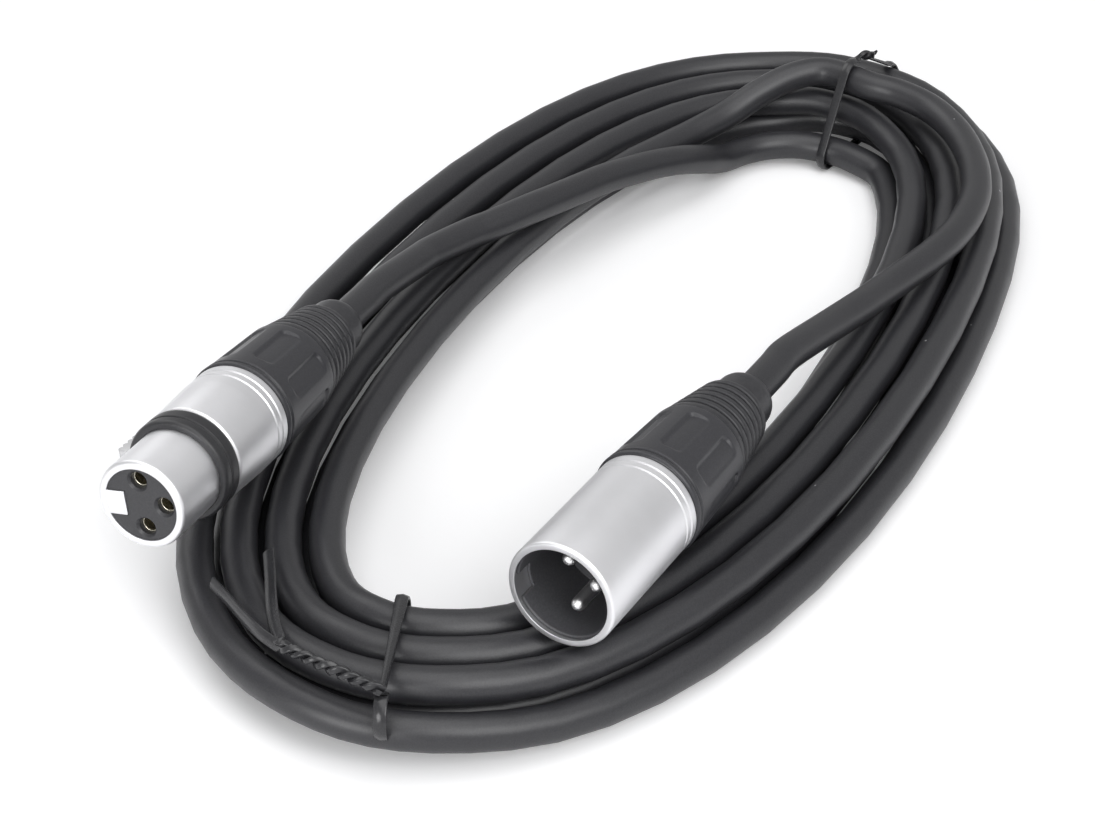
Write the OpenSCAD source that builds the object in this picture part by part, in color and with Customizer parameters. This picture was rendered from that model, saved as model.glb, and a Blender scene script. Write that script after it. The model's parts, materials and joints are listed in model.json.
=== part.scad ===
// Coiled microphone cable with a three-pole male and a three-pole female connector.
// +X runs along the long axis of the coil, +Z is up, and the coil lies on z = 0.

/* [Cable] */
// Outer diameter of the cable jacket
cable_d = 6.4; // [5.8:0.1:6.6]
// Least gap between two passes of the cable
pass_gap = 0.6; // [0.56:0.02:0.7]
// Half length of the coil's middle line
coil_long = 116.5; // [112:0.5:120]
// Half width of the coil's middle line
coil_wide = 49; // [48:0.5:51]
// Extra spread of the passes along the front side, as a share of the pitch
spread_front = 0.06; // [0.02:0.01:0.1]
// Extra spread of the passes along the back side, as a share of the pitch
spread_back = 0.23; // [0.2:0.01:0.3]
// Extra spread of the passes round the far end, as a share of the pitch
spread_far = 0.35; // [0.3:0.01:0.38]
// Diameter of one insulated core
core_d = 1.5; // [1.2:0.1:1.6]

/* [Ties] */
// Width of the tie strip
tie_w = 2.2; // [1.6:0.1:2.6]
// Thickness of the tie strip
tie_t = 0.9; // [0.7:0.1:1.1]
// Gap between a tie and the bundle that it holds
tie_gap = 0.3; // [0.25:0.05:0.5]
// Length of one full twist of the tie's ends
twist_pitch = 4.5; // [4:0.5:6]

/* [Male connector] */
// Outer diameter of the male shell
male_d = 19; // [18.8:0.1:19.4]
// Length of the male shell in front of the boot
male_len = 28.2; // [26:0.2:32]
// Wall of the male shell round its mouth
male_wall = 0.8; // [0.6:0.1:1]
// Wall of the plastic liner inside the mouth
liner_wall = 0.55; // [0.4:0.05:0.6]
// Depth of the mouth down to the insert
mouth_depth = 15; // [13:0.5:16]
// Distance of the pin tips behind the rim
tip_depth = 4.6; // [4.4:0.2:6]

/* [Female connector] */
// Outer diameter of the female nose
nose_d = 15.8; // [15.4:0.1:16]
// Length of the nose in front of the rubber ring
nose_len = 11.4; // [10:0.2:13]
// Wall of the nose
nose_wall = 1.1; // [0.9:0.05:1.2]
// Outer diameter of the rubber ring
seal_d = 18.6; // [18:0.1:19]
// Width of the rubber ring
seal_w = 5; // [4:0.2:6]
// Outer diameter of the female body
body_d = 19.2; // [18.8:0.1:19.4]
// Length from the rim of the nose to the boot
female_len = 32.3; // [31:0.1:34]
// Diameter of the entry to a contact
entry_d = 3; // [2.8:0.1:3.2]
// Width of the latch
latch_w = 4.2; // [3.6:0.2:4.4]

/* [Contacts] */
// Radius of the circle that the contacts stand on
contact_r = 4.2; // [4.1:0.05:4.3]
// Diameter of a contact pin
pin_d = 2.35; // [2.2:0.05:2.4]
// Clearance round a pin inside a contact socket
socket_gap = 0.06; // [0.05:0.01:0.1]
// Wall of a contact socket
socket_wall = 0.5; // [0.4:0.05:0.6]

/* [Boot] */
// Diameter of the boot over its front bead
boot_front_d = 19.8; // [19.6:0.1:20]
// Diameter of the boot at the seam to its sleeve
boot_rear_d = 17.4; // [17:0.1:17.8]
// Length of the hard grip part
grip_len = 23.2; // [22:0.2:26]
// Length of the ribbed part of the sleeve
ribs_len = 16.2; // [14:0.2:18]
// Length of the plain collar at the end of the sleeve
collar_len = 3.6; // [2:0.2:5]
// Diameter of the plain collar
collar_d = 10.5; // [10:0.1:11]
// Grooves between the ribs of the sleeve
rib_count = 6; // [4:1:7]
// Grip hollows round the boot
flute_count = 10; // [6:1:12]
// Depth of a grip hollow
flute_depth = 0.6; // [0.3:0.1:0.8]
// Advance of the boot's thread for each turn
thread_pitch = 1.25; // [1:0.05:1.5]

/* [Fits] */
// Radial clearance of the boot on its threaded neck
neck_gap = 0.08; // [0.05:0.01:0.1]
// Clearance between fixed pieces that seat in each other
seat_gap = 0.05; // [0.03:0.01:0.08]
// Clearance between pieces that move past each other
free_gap = 0.3; // [0.25:0.05:0.4]

/* [Hidden] */
$fn = 96;

// Where the connectors lie: rim centre, heading in the floor plane, dip and roll of the key
male_rim = [-100.9, -30.3, 23.4];
male_yaw = -4.8;
male_dip = 1.2;
male_roll = 78;
female_rim = [-113.5, 37.9, 28];
female_yaw = 3;
female_dip = 5.1;
female_roll = 82;

// The coil: passes, where it starts, where its passes spread, where its middle line bulges
// and where the upper layer leans inwards, in passes
coil_turns = 6.71;
coil_start = -43;
coil_centre = [0, -0.8];
oval_flat = 0.025;
corner_at = -36;
corner_bulge = 4;
sway_at = -10;
top_sway = 0.45;
front_at = -75;
back_at = 85;
far_at = 5;
rings_per_turn = 24;
ring_crowding = 13;
cord_r = cable_d / 2;
cut_depth = cable_d / 10;
pitch = cable_d + pass_gap;
half_turns = coil_turns / 2;
floor_z = cord_r - cut_depth;

// The ties: where they cross the coil and how far the cable climbs over them
front_tie_at = 186;
rear_tie_at = -9;
tie_reach = 28;
tie_ramp = 20;
floor_gap = 0.05;
tie_lift = floor_gap + tie_t + tie_gap;

// Half length and half width of the coil that the free routes below are drawn round
drawn_long = 116.5;
drawn_wide = 49;
function placed(p) = [p[0] * coil_long / drawn_long, p[1] * coil_wide / drawn_wide, p[2]];
function all_placed(points) = [for (p = points) placed(p)];

// Free leads, from the end of the strain relief to the coil
female_points = [
    [-12, 42, 18.4], [-6.2, 41.5, 17.8], [4.7, 38.6, 17], [9.3, 36.6, 16.8], [14.2, 34.4, 16.8], [20.1, 32, 16.7],
    [26.8, 29.8, 16.1], [34.6, 27.5, 15.3], [42.1, 25.2, 14.5], [49.2, 22.6, 13.4], [56.5, 19.6, 12.2],
    [63.5, 16.4, 10.6], [70.5, 14, 8], [78, 12.3, 5], [85.2, 9.2, 4.3], [91.2, 4.2, 4.6], [94.8, -1.8, 4.6]
];
male_points = [
    [-1.2, -40.1, 19.3], [9.8, -42.5, 18.2], [18.7, -44.3, 17.4], [26.9, -46.3, 17.1], [35.4, -48.4, 17],
    [44, -49.9, 17], [53.8, -50.3, 17], [64.9, -49, 17], [76.7, -44.9, 17.2], [88.2, -38.1, 17.3],
    [96.4, -29.9, 17.6], [99.8, -21.2, 18.2], [100.3, -13.5, 18.6], [103, -3, 18.6], [99.4, 3.7, 17.7],
    [93.4, 9.8, 14.8], [86.6, 14.9, 11.3]
];

// Free ends of the ties, from the end of the twist to their tips
front_twist_end = [-122.3, 7.6, 16.2];
front_leg_a = [[-118, 11.4, 16], [-112, 15.6, 15.6], [-106, 19.4, 15], [-100.5, 23, 14.6]];
front_leg_b = [[-120.4, 12.6, 15.6], [-117, 18, 14.8], [-113.6, 23, 14.2], [-111, 27.4, 14]];
rear_twist_end = [112.3, -8.4, 20.6];
rear_leg_a = [[111.4, -8, 21.8]];
rear_leg_b = [[111.8, -7, 21.5]];

/* ---- Small helpers ---- */
function smooth(x) = let (t = min(max(x, 0), 1)) t * t * (3 - 2 * t);
function unit(v) = v / norm(v);
function turned(a) = let (d = (a % 360 + 540) % 360 - 180) abs(d);
function last(list) = list[len(list) - 1];
function along(points, i) =
    unit(points[min(i + 1, len(points) - 1)] - points[max(i - 1, 0)]);

// Smooth curve through chosen points, with steps points for each stretch
function curve_point(p0, p1, p2, p3, t) =
    0.5 * (2 * p1 + (p2 - p0) * t + (2 * p0 - 5 * p1 + 4 * p2 - p3) * t * t
        + (3 * p1 - p0 - 3 * p2 + p3) * t * t * t);
function curve(p, steps) = [
    for (i = [0 : len(p) - 2]) for (j = [0 : steps - 1])
        curve_point(
            i == 0 ? 2 * p[0] - p[1] : p[i - 1], p[i], p[i + 1],
            i == len(p) - 2 ? 2 * p[i + 1] - p[i] : p[i + 2], j / steps),
    last(p)
];

// Cord section: a circle cut flat underneath by cut, with sides corners
function cord_section(r, cut, sides) =
    let (half = acos((r - cut) / r), step = (360 - 2 * half) / (sides - 1))
    [for (i = [0 : sides - 1]) let (a = half - 90 + i * step) [r * cos(a), r * sin(a)]];
function strip_section(w, t) = [[w, t], [-w, t], [-w, -t], [w, -t]] / 2;

// Sideways direction at each point, carried along the route without rolling
function square_to(v, d) = unit(v - d * (v * d));
function carried(points, first) = [
    for (i = 0, n = square_to(first, along(points, 0)); i < len(points);
        i = i + 1, n = i < len(points) ? square_to(n, along(points, i)) : n) n
];
function level_sides(points) = [for (i = [0 : len(points) - 1]) unit(cross(along(points, i), [0, 0, 1]))];

// Solid along a route: each ring is a section turned to its sideways direction
module tube(points, sides, sections) {
    n = len(sections[0]);
    rings = len(points);
    corners = [
        for (i = [0 : rings - 1])
            let (side = sides[i], up = cross(side, along(points, i)))
            for (q = sections[i]) points[i] + side * q[0] + up * q[1]
    ];
    walls = [
        for (i = [0 : rings - 2]) for (j = [0 : n - 1])
            let (a = i * n + j, b = i * n + (j + 1) % n)
            each [[a, b, b + n], [a, b + n, a + n]]
    ];
    front_cap = [for (j = [1 : n - 2]) [0, j + 1, j]];
    rear_cap = [for (j = [1 : n - 2]) let (o = (rings - 1) * n) [o, o + j, o + j + 1]];
    polyhedron(corners, concat(walls, front_cap, rear_cap), convexity = 12);
}
module cord(points, section) {
    tube(points, level_sides(points), [for (p = points) section]);
}

/* ---- Route of the coil ---- */
function mid_slope(a) =
    unit([coil_long * (3 * oval_flat * sin(3 * a) - sin(a)), coil_wide * cos(a)]);
function outward(a) = let (d = mid_slope(a)) [d[1], -d[0]];
function lobe(a, at) = pow(max(0, cos(a - at)), 2);
function mid_line(a) =
    coil_centre + [coil_long * (cos(a) - oval_flat * cos(3 * a)), coil_wide * sin(a)]
        + outward(a) * corner_bulge * pow(lobe(a, corner_at), 3);
function spread(a) =
    1 + spread_front * lobe(a, front_at) + spread_back * lobe(a, back_at) + spread_far * lobe(a, far_at);
function lift(a) =
    tie_lift * (smooth((tie_reach - turned(a - front_tie_at)) / tie_ramp)
        + smooth((tie_reach - turned(a - rear_tie_at)) / tie_ramp));
// Passes counted outwards from the middle line after t turns
function coil_angle(t) = let (u = coil_start - 360 * t) u - ring_crowding * sin(2 * u);
function pass_at(t) = t < half_turns ? t - half_turns / 2
    : 1.5 * half_turns - t - top_sway * pow(lobe(coil_angle(t), sway_at), 2);
function on_coil(a, out, z) = let (p = mid_line(a) + outward(a) * out) [p[0], p[1], z + lift(a)];
function coil_point(t) =
    let (a = coil_angle(t))
    on_coil(a, pitch * spread(a) * pass_at(t), floor_z + pitch * smooth((t - half_turns + 0.25) / 0.5));

ring_steps = round(coil_turns * rings_per_turn);
coil_body = [for (i = [0 : ring_steps]) coil_point(coil_turns * i / ring_steps)];
probe = 0.002;
start_dir = unit(coil_point(0) - coil_point(probe));
end_dir = unit(coil_point(coil_turns) - coil_point(coil_turns - probe));
coil_in = coil_point(0) + start_dir * cable_d;
coil_out = coil_point(coil_turns) + end_dir * cable_d;
coil_route = concat([coil_in], coil_body, [coil_out]);

// Least gap of the coil to itself, measured from ring points to the stretches of other passes
function to_stretch(p, a, b) =
    let (d = b - a, t = min(max((p - a) * d / (d * d), 0), 1)) norm(p - a - d * t);
skip = round(rings_per_turn / 2);
self_gap = min([
    for (i = [0 : ring_steps - skip]) for (j = [i + skip : ring_steps - 1])
        to_stretch(coil_body[i], coil_body[j], coil_body[j + 1])
]) - cable_d;
function sum(list) = list * [for (item = list) 1];
function route_length(p) = sum([for (i = [1 : len(p) - 1]) norm(p[i] - p[i - 1])]);
echo(least_gap_of_the_coil = self_gap, coil_length = route_length(coil_route));

/* ---- Frames of the connectors ---- */
function heading(yaw, dip) = [cos(dip) * cos(yaw), cos(dip) * sin(yaw), -sin(dip)];
male_dir = heading(male_yaw, male_dip);
female_dir = heading(female_yaw, female_dip);
boot_len = grip_len + ribs_len + collar_len;

module on_male() {
    translate(placed(male_rim)) rotate([0, 90 + male_dip, male_yaw]) rotate([0, 0, male_roll]) children();
}
module on_female() {
    translate(placed(female_rim)) rotate([0, 90 + female_dip, female_yaw]) rotate([0, 0, female_roll]) children();
}

/* ---- Derived sizes of the connectors ---- */
neck_r = 8.1;
neck_len = 7;
neck_bore_r = 7;
chuck_start = 7.6;
jacket_start = 16;
pin_r = pin_d / 2;
cup_r = 1.4;
cup_len = 3.4;
insert_tail = 2.8;
core_r = core_d / 2;
male_bore_r = male_d / 2 - male_wall;
liner_r = male_bore_r - seat_gap;
mouth_r = liner_r - liner_wall;
nose_bore_r = nose_d / 2 - nose_wall;
insert_r = nose_bore_r - seat_gap;
seal_start = nose_len;
seal_end = nose_len + seal_w;
socket_bore_r = pin_r + socket_gap;
socket_r = socket_bore_r + socket_wall;
boot_wall_r = neck_r + neck_gap;
boot_cavity_r = neck_bore_r + free_gap;
spigot_r = 6.2;
spigot_len = 3;
bore_r = cord_r + free_gap;

// A revolved profile of [radius, height] points
module turned_part(profile) {
    rotate_extrude() polygon(profile);
}
// Profile of the rear of a shell: two engraved ring lines, the rear edge and the threaded neck
ring_line_depth = 0.25;
ring_line_w = 0.5;
ring_line_bevel = 0.2;
ring_lines_at = [-3.6, -2];
rear_bevel = 0.2;
neck_bevel = 0.4;
shoulder_len = 2;
function shell_rear(r, body_len) = concat(
    [for (at = ring_lines_at) let (z = body_len + at) each [
        [r, z], [r - ring_line_depth, z + ring_line_bevel],
        [r - ring_line_depth, z + ring_line_bevel + ring_line_w], [r, z + 2 * ring_line_bevel + ring_line_w]]],
    [[r, body_len - rear_bevel], [r - rear_bevel, body_len], [neck_r, body_len],
     [neck_r, body_len + neck_len - neck_bevel], [neck_r - neck_bevel, body_len + neck_len],
     [neck_bore_r, body_len + neck_len], [neck_bore_r, body_len - shoulder_len]]);
module at_contact(angle) {
    rotate([0, 0, angle]) translate([contact_r, 0, 0]) children();
}

/* ---- Cable ---- */
cord_shape = cord_section(cord_r, cut_depth, 6);
lead_shape = cord_section(cord_r, cut_depth, 10);
lead_steps = 2;
approach = 2.5;

module cable_coil() {
    color([0.2, 0.2, 0.22]) cord(coil_route, cord_shape);
}
// Straight stretch inside the boot and just behind it, then the free curve to the coil
function lead_route(rim, dir, body_len, points, coil_end, coil_dir) = concat(
    [rim + dir * (body_len + jacket_start), rim + dir * (body_len + boot_len)],
    curve(concat([for (i = [1, 2]) rim + dir * (body_len + boot_len + i * cable_d)],
        all_placed(points), [coil_end + coil_dir * approach]), lead_steps),
    [coil_end]);
module male_lead() {
    color([0.2, 0.2, 0.22])
        cord(lead_route(placed(male_rim), male_dir, male_len, male_points, coil_out, end_dir), lead_shape);
}
module female_lead() {
    color([0.2, 0.2, 0.22])
        cord(lead_route(placed(female_rim), female_dir, female_len, female_points, coil_in, start_dir), lead_shape);
}

/* ---- Ties ---- */
strand_d = 1;
twist_r = 0.65;
twist_steps = 8;
tie_corner = 3.4;
corner_steps = 4;
function corner_arc(c, r, from, to) =
    [for (i = [0 : corner_steps]) let (a = from + (to - from) * i / corner_steps) c + r * [cos(a), sin(a)]];
// Strip once round the bundle in its cross-section, as [outward, height] points, from the top inner corner
tie_low = floor_gap + tie_t / 2 + tie_corner;
function tie_outside(outer, top) = concat(
    corner_arc([outer - tie_corner, tie_low], tie_corner, 270, 360),
    corner_arc([outer - tie_corner, top - tie_corner], tie_corner, 0, 90));
function tie_loop(inner, outer, top) = concat(
    corner_arc([inner + tie_corner, top - tie_corner], tie_corner, 90, 180),
    corner_arc([inner + tie_corner, tie_low], tie_corner, 180, 270),
    tie_outside(outer, top));
// Point of the coil's cross-section at angle a
function in_section(a, q) = let (p = mid_line(a) + outward(a) * q[0]) [p[0], p[1], q[1]];
// One strand of the twist between two points
function twist(from, to, phase) =
    let (d = unit(to - from), side = unit(cross(d, [0, 0, 1])), up = cross(side, d),
         steps = round(norm(to - from) / twist_pitch * twist_steps))
    [for (i = [0 : steps])
        let (w = phase + 360 * norm(to - from) / twist_pitch * i / steps)
        from + (to - from) * i / steps + side * twist_r * cos(w) + up * twist_r * sin(w)];
function reversed(list) = [for (i = [len(list) - 1 : -1 : 0]) list[i]];
function many(count, value) = [for (i = [1 : count]) value];

// The whole strip: tip, twist, once round the bundle, twist, tip
module tie(a, loop, root, twist_end, leg_a, leg_b) {
    tail_a = concat(twist(root, placed(twist_end), 0), all_placed(leg_a));
    tail_b = concat(twist(root, placed(twist_end), 180), all_placed(leg_b));
    slope = mid_slope(a);
    width = [slope[0], slope[1], 0];
    route = concat(reversed(tail_a), [for (q = loop) in_section(a, q)], tail_b);
    sides = concat(reversed(carried(tail_a, width)), many(len(loop), width), carried(tail_b, width));
    flat = strip_section(tie_w, tie_t);
    thin = strip_section(strand_d, strand_d);
    strand = len(tail_a) - len(leg_a);
    sections = concat(many(len(leg_a), flat), many(strand, thin), many(len(loop), flat),
        many(strand, thin), many(len(leg_b), flat));
    tube(route, sides, sections);
}

// Passes that cross angle a, and the lead that runs on inwards from the first one
function first_turn(a) = (coil_start - a) / 360 - floor((coil_start - a) / 360);
function passes_at(a) = [for (t = [first_turn(a) : 1 : coil_turns]) pass_at(t)];
tie_clear = tie_gap + tie_t / 2;
side_slack = 0.5;
function tie_out(a) = max(passes_at(a)) * pitch * spread(a) + cord_r + tie_clear + side_slack;
function tie_in(passes, a) = min(passes) * pitch * spread(a) - cord_r - tie_clear - side_slack;
tie_top = floor_z + tie_lift + pitch + cord_r + tie_clear;
root_in = 2;
root_up = 1.4;
front_out = tie_out(front_tie_at);
front_root = in_section(front_tie_at, [front_out - root_in, tie_top + root_up]);
rear_out = tie_out(rear_tie_at);
rear_root_at = 4.5;
rear_root = in_section(rear_tie_at, [rear_root_at, tie_top + root_up]);
// The rear tie also passes over the male lead and round the female lead, which lies furthest in
crossing = [-12.3, 18.7];
crossing_r = cord_r + tie_clear + 0.35;
rear_in = -26.6;
rear_corner = [rear_in + tie_corner, tie_low];
rear_lean = 270 + atan2(rear_corner[1] - crossing[1], rear_corner[0] - crossing[0]);
rear_loop = concat(
    corner_arc(crossing, crossing_r, 50, rear_lean),
    corner_arc(rear_corner, tie_corner, rear_lean, 270),
    tie_outside(rear_out, tie_top));

module front_tie() {
    color([0.12, 0.12, 0.12])
        tie(front_tie_at, tie_loop(tie_in(passes_at(front_tie_at), front_tie_at), front_out, tie_top),
            front_root, front_twist_end, front_leg_a, front_leg_b);
}
module rear_tie() {
    color([0.12, 0.12, 0.12])
        tie(rear_tie_at, rear_loop,
            rear_root, rear_twist_end, rear_leg_a, rear_leg_b);
}

/* ---- Pieces that both connectors share ---- */
// Each is drawn with its front at z = 0, where the boot meets the shell
bead_r = 0.75;
bead_gap = 1.1;
grip_front_r = boot_front_d / 2 - 0.2;
grip_rear_r = boot_rear_d / 2;
flute_start = 3.4;
flute_end = grip_len - 3;
flute_w = 3.2;
cone_start = 13;
cone_end = 19;

function grip_r(z) = grip_front_r + (grip_rear_r - grip_front_r) * (z - bead_gap) / (grip_len - bead_gap);

module boot() {
    difference() {
        union() {
            turned_part([
                [boot_wall_r, 0], [boot_front_d / 2 - 0.5, 0], [boot_front_d / 2 - 0.5, bead_gap + 1],
                [grip_front_r - 0.3, bead_gap + 0.4], [grip_front_r, bead_gap + 0.9],
                [grip_r(grip_len - 0.5), grip_len - 0.5],
                [grip_rear_r - 0.5, grip_len], [spigot_r, grip_len], [spigot_r, cone_end],
                [boot_cavity_r, cone_start + 1.5], [boot_cavity_r, neck_len + 0.4], [boot_wall_r, neck_len + 0.4]
            ]);
            translate([0, 0, bead_r]) rotate_extrude() translate([boot_front_d / 2 - bead_r, 0])
                circle(r = bead_r, $fn = 24);
        }
        for (i = [0 : flute_count - 1]) rotate([0, 0, (i + 0.5) * 360 / flute_count]) flute();
    }
}
// One grip hollow: a flat-bottomed slot with round ends that follows the taper
module flute() {
    lean = atan((grip_front_r - grip_rear_r) / (grip_len - bead_gap));
    run = flute_end - flute_start;
    translate([grip_r(flute_start) - flute_depth, 0, flute_start]) rotate([0, -lean, 0]) rotate([0, 90, 0]) {
        translate([-run, -flute_w / 2, 0]) cube([run, flute_w, 4]);
        for (back = [0, run]) translate([-back, 0, 0]) cylinder(d = flute_w, h = 4);
    }
}

rib_pitch = ribs_len / (rib_count + 0.5);
rib_land = 0.55;
rib_depth = 0.8;
ribs_front_r = grip_rear_r - 0.15;
ribs_rear_r = collar_d / 2 + 0.5;
function rib_r(z) = ribs_front_r + (ribs_rear_r - ribs_front_r) * z / ribs_len;
module gland() {
    groove = rib_pitch * (1 - rib_land);
    translate([0, 0, grip_len]) turned_part(concat(
        [[bore_r, -spigot_len], [spigot_r - seat_gap, -spigot_len], [spigot_r - seat_gap, seat_gap],
         [rib_r(0), seat_gap]],
        [for (i = [0 : rib_count - 1]) let (z = (i + 0.5) * rib_pitch) each [
            [rib_r(z), z], [rib_r(z) - rib_depth, z + groove / 2], [rib_r(z) - rib_depth, z + groove / 2 + 0.3],
            [rib_r(z + groove), z + groove + 0.1]]],
        [[rib_r(ribs_len), ribs_len - 0.5], [collar_d / 2, ribs_len + 0.3],
         [collar_d / 2, ribs_len + collar_len - 0.5], [collar_d / 2 - 0.5, ribs_len + collar_len],
         [bore_r, ribs_len + collar_len]]));
}

// Clamping collet round the jacket, with open fingers at its rear
chuck_r = neck_bore_r - free_gap;
chuck_len = 12;
chuck_front_bore = 5.7;
finger_slit = 1;
module chuck() {
    cone_top = chuck_start + chuck_len;
    difference() {
        turned_part([
            [chuck_front_bore, chuck_start], [chuck_r, chuck_start], [chuck_r, cone_start + 0.4],
            [spigot_r - 1, cone_top - 0.6], [bore_r, cone_top - 0.6],
            [bore_r, jacket_start - 1], [chuck_front_bore, chuck_start + 4.4]
        ]);
        for (a = [0, 90]) rotate([0, 0, a])
            translate([-chuck_r - 1, -finger_slit / 2, chuck_start + 6])
                cube([2 * chuck_r + 2, finger_slit, chuck_len]);
    }
}

// Three insulated cores from the solder cups to the end of the jacket
core_bundle_r = 1.35;
module cores(cup_end) {
    rise = jacket_start - 0.1 - cup_end;
    run = contact_r - core_bundle_r;
    for (a = [90, 180, 270]) at_contact(a)
        translate([0, 0, cup_end]) rotate([0, -atan(run / rise), 0])
            translate([0, 0, 0.4]) cylinder(r = core_r, h = norm([run, rise]) - 0.8, $fn = 32);
}

/* ---- Male connector ---- */
module male_shell() {
    color([0.78, 0.78, 0.8]) on_male() turned_part(concat(
        [[male_bore_r + 0.35, 0], [male_d / 2 - 0.3, 0], [male_d / 2, 0.5]],
        shell_rear(male_d / 2, male_len),
        [[male_bore_r, male_len - shoulder_len], [male_bore_r, 0.6]]));
}

liner_start = 1.2;
catch_len = 3.4;
catch_w = 4.4;
male_tail = male_len + insert_tail;
insert_shoulder = male_len - shoulder_len - seat_gap;
module male_insert() {
    color([0.16, 0.16, 0.17]) on_male() difference() {
        turned_part([
            [0, mouth_depth], [mouth_r, mouth_depth], [mouth_r, liner_start + 0.2], [mouth_r + 0.2, liner_start],
            [liner_r, liner_start], [liner_r, insert_shoulder], [neck_bore_r - seat_gap, insert_shoulder],
            [neck_bore_r - seat_gap, male_tail], [0, male_tail]
        ]);
        for (a = [90, 180, 270]) at_contact(a)
            translate([0, 0, mouth_depth - 1]) cylinder(r = pin_r + seat_gap, h = male_tail, $fn = 32);
        translate([mouth_r - 2, -catch_w / 2, 0]) cube([4, catch_w, liner_start + catch_len]);
        rotate([0, 0, spring_at]) translate([leaf_r - seat_gap, -leaf_w / 2 - seat_gap, leaf_start + 2])
            cube([leaf_t + 2 * seat_gap, leaf_w + 2 * seat_gap, leaf_len - 2 + seat_gap]);
    }
}

module male_pin(angle) {
    color([0.85, 0.85, 0.87]) on_male() at_contact(angle) {
        translate([0, 0, tip_depth + pin_r]) sphere(r = pin_r, $fn = 32);
        translate([0, 0, tip_depth + pin_r]) cylinder(r = pin_r, h = male_tail + 0.5 - tip_depth - pin_r, $fn = 32);
        difference() {
            translate([0, 0, male_tail + seat_gap]) cylinder(r = cup_r, h = cup_len - seat_gap, $fn = 32);
            translate([0, 0, male_tail + 1]) cylinder(r = cup_r - 0.45, h = cup_len, $fn = 32);
        }
    }
}

// Leaf that joins the shell to the first contact, seen on the wall of the mouth
spring_at = 135;
leaf_t = 0.4;
leaf_w = 3.4;
leaf_start = 9;
leaf_len = 10;
leaf_r = mouth_r - 0.3 - leaf_t;
module male_ground_spring() {
    color([0.7, 0.7, 0.7]) on_male() rotate([0, 0, spring_at])
        translate([leaf_r, -leaf_w / 2, leaf_start]) cube([leaf_t, leaf_w, leaf_len]);
}
module male_cores() {
    color([0.75, 0.3, 0.25]) on_male() translate([0, 0, male_len]) cores(insert_tail + cup_len);
}
module male_chuck() {
    color([0.9, 0.9, 0.88]) on_male() translate([0, 0, male_len]) chuck();
}
module male_boot() {
    color([0.2, 0.2, 0.22]) on_male() translate([0, 0, male_len + seat_gap]) boot();
}
module male_gland() {
    color([0.17, 0.17, 0.18]) on_male() translate([0, 0, male_len + seat_gap]) gland();
}

/* ---- Female connector ---- */
key_in = 4.4;
key_w = 4.5;
key_len = 4;
body_front_d = 18.4;
latch_pivot = 24;
pivot_k = 4.9;
lever_front = key_len + 0.5;
lever_rear = latch_pivot + 2;
lever_in = 4.6;
lever_out = 6.3;
thumb_start = 12.6;
thumb_end = 19.2;
thumb_out = 11.2;
channel_w = latch_w + 2 * free_gap;
channel_in = 2.9;
window_start = thumb_start - 0.5;
window_end = thumb_end + 0.6;
tooth_start = 7.4;
tooth_len = 2.4;
tooth_w = 2.6;
tooth_out = 8.5;
trunnion_r = 0.9;
trunnion_gap = 0.06;
trunnion_half = 2.9;
female_tail = female_len + insert_tail;

module female_shell() {
    color([0.78, 0.78, 0.8]) on_female() difference() {
        union() {
            turned_part(concat([
                [nose_bore_r, 0.3], [nose_bore_r + 0.3, 0], [nose_d / 2 - 0.6, 0], [nose_d / 2 - 0.15, 0.3], [nose_d / 2, 0.8],
                [nose_d / 2, seal_end], [body_front_d / 2 - 0.4, seal_end], [body_front_d / 2, seal_end + 0.4],
                [body_d / 2, female_len - 6]],
                shell_rear(body_d / 2, female_len), [[nose_bore_r, female_len - shoulder_len]]));
            translate([key_in, -key_w / 2, 0.2]) cube([nose_bore_r + 0.4 - key_in, key_w, key_len - 0.2]);
        }
        translate([nose_bore_r - 1.5, -channel_w / 2, window_start]) cube([6, channel_w, window_end - window_start]);
        translate([nose_bore_r - 1.5, -tooth_w / 2 - free_gap, tooth_start - free_gap])
            cube([4, tooth_w + 2 * free_gap, tooth_len + 2 * free_gap]);
    }
}

insert_front = 0.3;
module female_insert() {
    color([0.14, 0.14, 0.15]) on_female() difference() {
        turned_part([
            [0, insert_front], [insert_r - 0.1, insert_front], [insert_r, insert_front + 0.1],
            [insert_r, female_tail], [0, female_tail]
        ]);
        translate([key_in - seat_gap, -key_w / 2 - seat_gap, -1]) cube([10, key_w + 2 * seat_gap, key_len + 1 + seat_gap]);
        translate([channel_in, -channel_w / 2, key_len - 0.1])
            cube([10, channel_w, lever_rear + 1 - key_len]);
        translate([pivot_k, 0, latch_pivot]) rotate([90, 0, 0])
            cylinder(r = trunnion_r + trunnion_gap, h = 2 * trunnion_half + 0.4, center = true, $fn = 32);
        translate([pivot_k, -trunnion_half - 0.2, latch_pivot - trunnion_r - trunnion_gap])
            cube([10, 2 * trunnion_half + 0.4, 2 * (trunnion_r + trunnion_gap)]);
        for (a = [90, 180, 270]) at_contact(a) {
            translate([0, 0, socket_start]) cylinder(r = socket_r + seat_gap, h = female_tail, $fn = 32);
            translate([0, 0, -1]) cylinder(d = entry_d, h = 4, $fn = 32);
            translate([0, 0, insert_front - 0.01]) cylinder(r1 = entry_d / 2 + 0.35, r2 = entry_d / 2 - 0.01, h = 0.4, $fn = 32);
        }
        rotate([0, 0, 180]) translate([strip_r - seat_gap, -strip_w / 2 - seat_gap, strip_start - seat_gap])
            cube([4, strip_w + 2 * seat_gap, strip_len + 2 * seat_gap]);
    }
}

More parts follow.
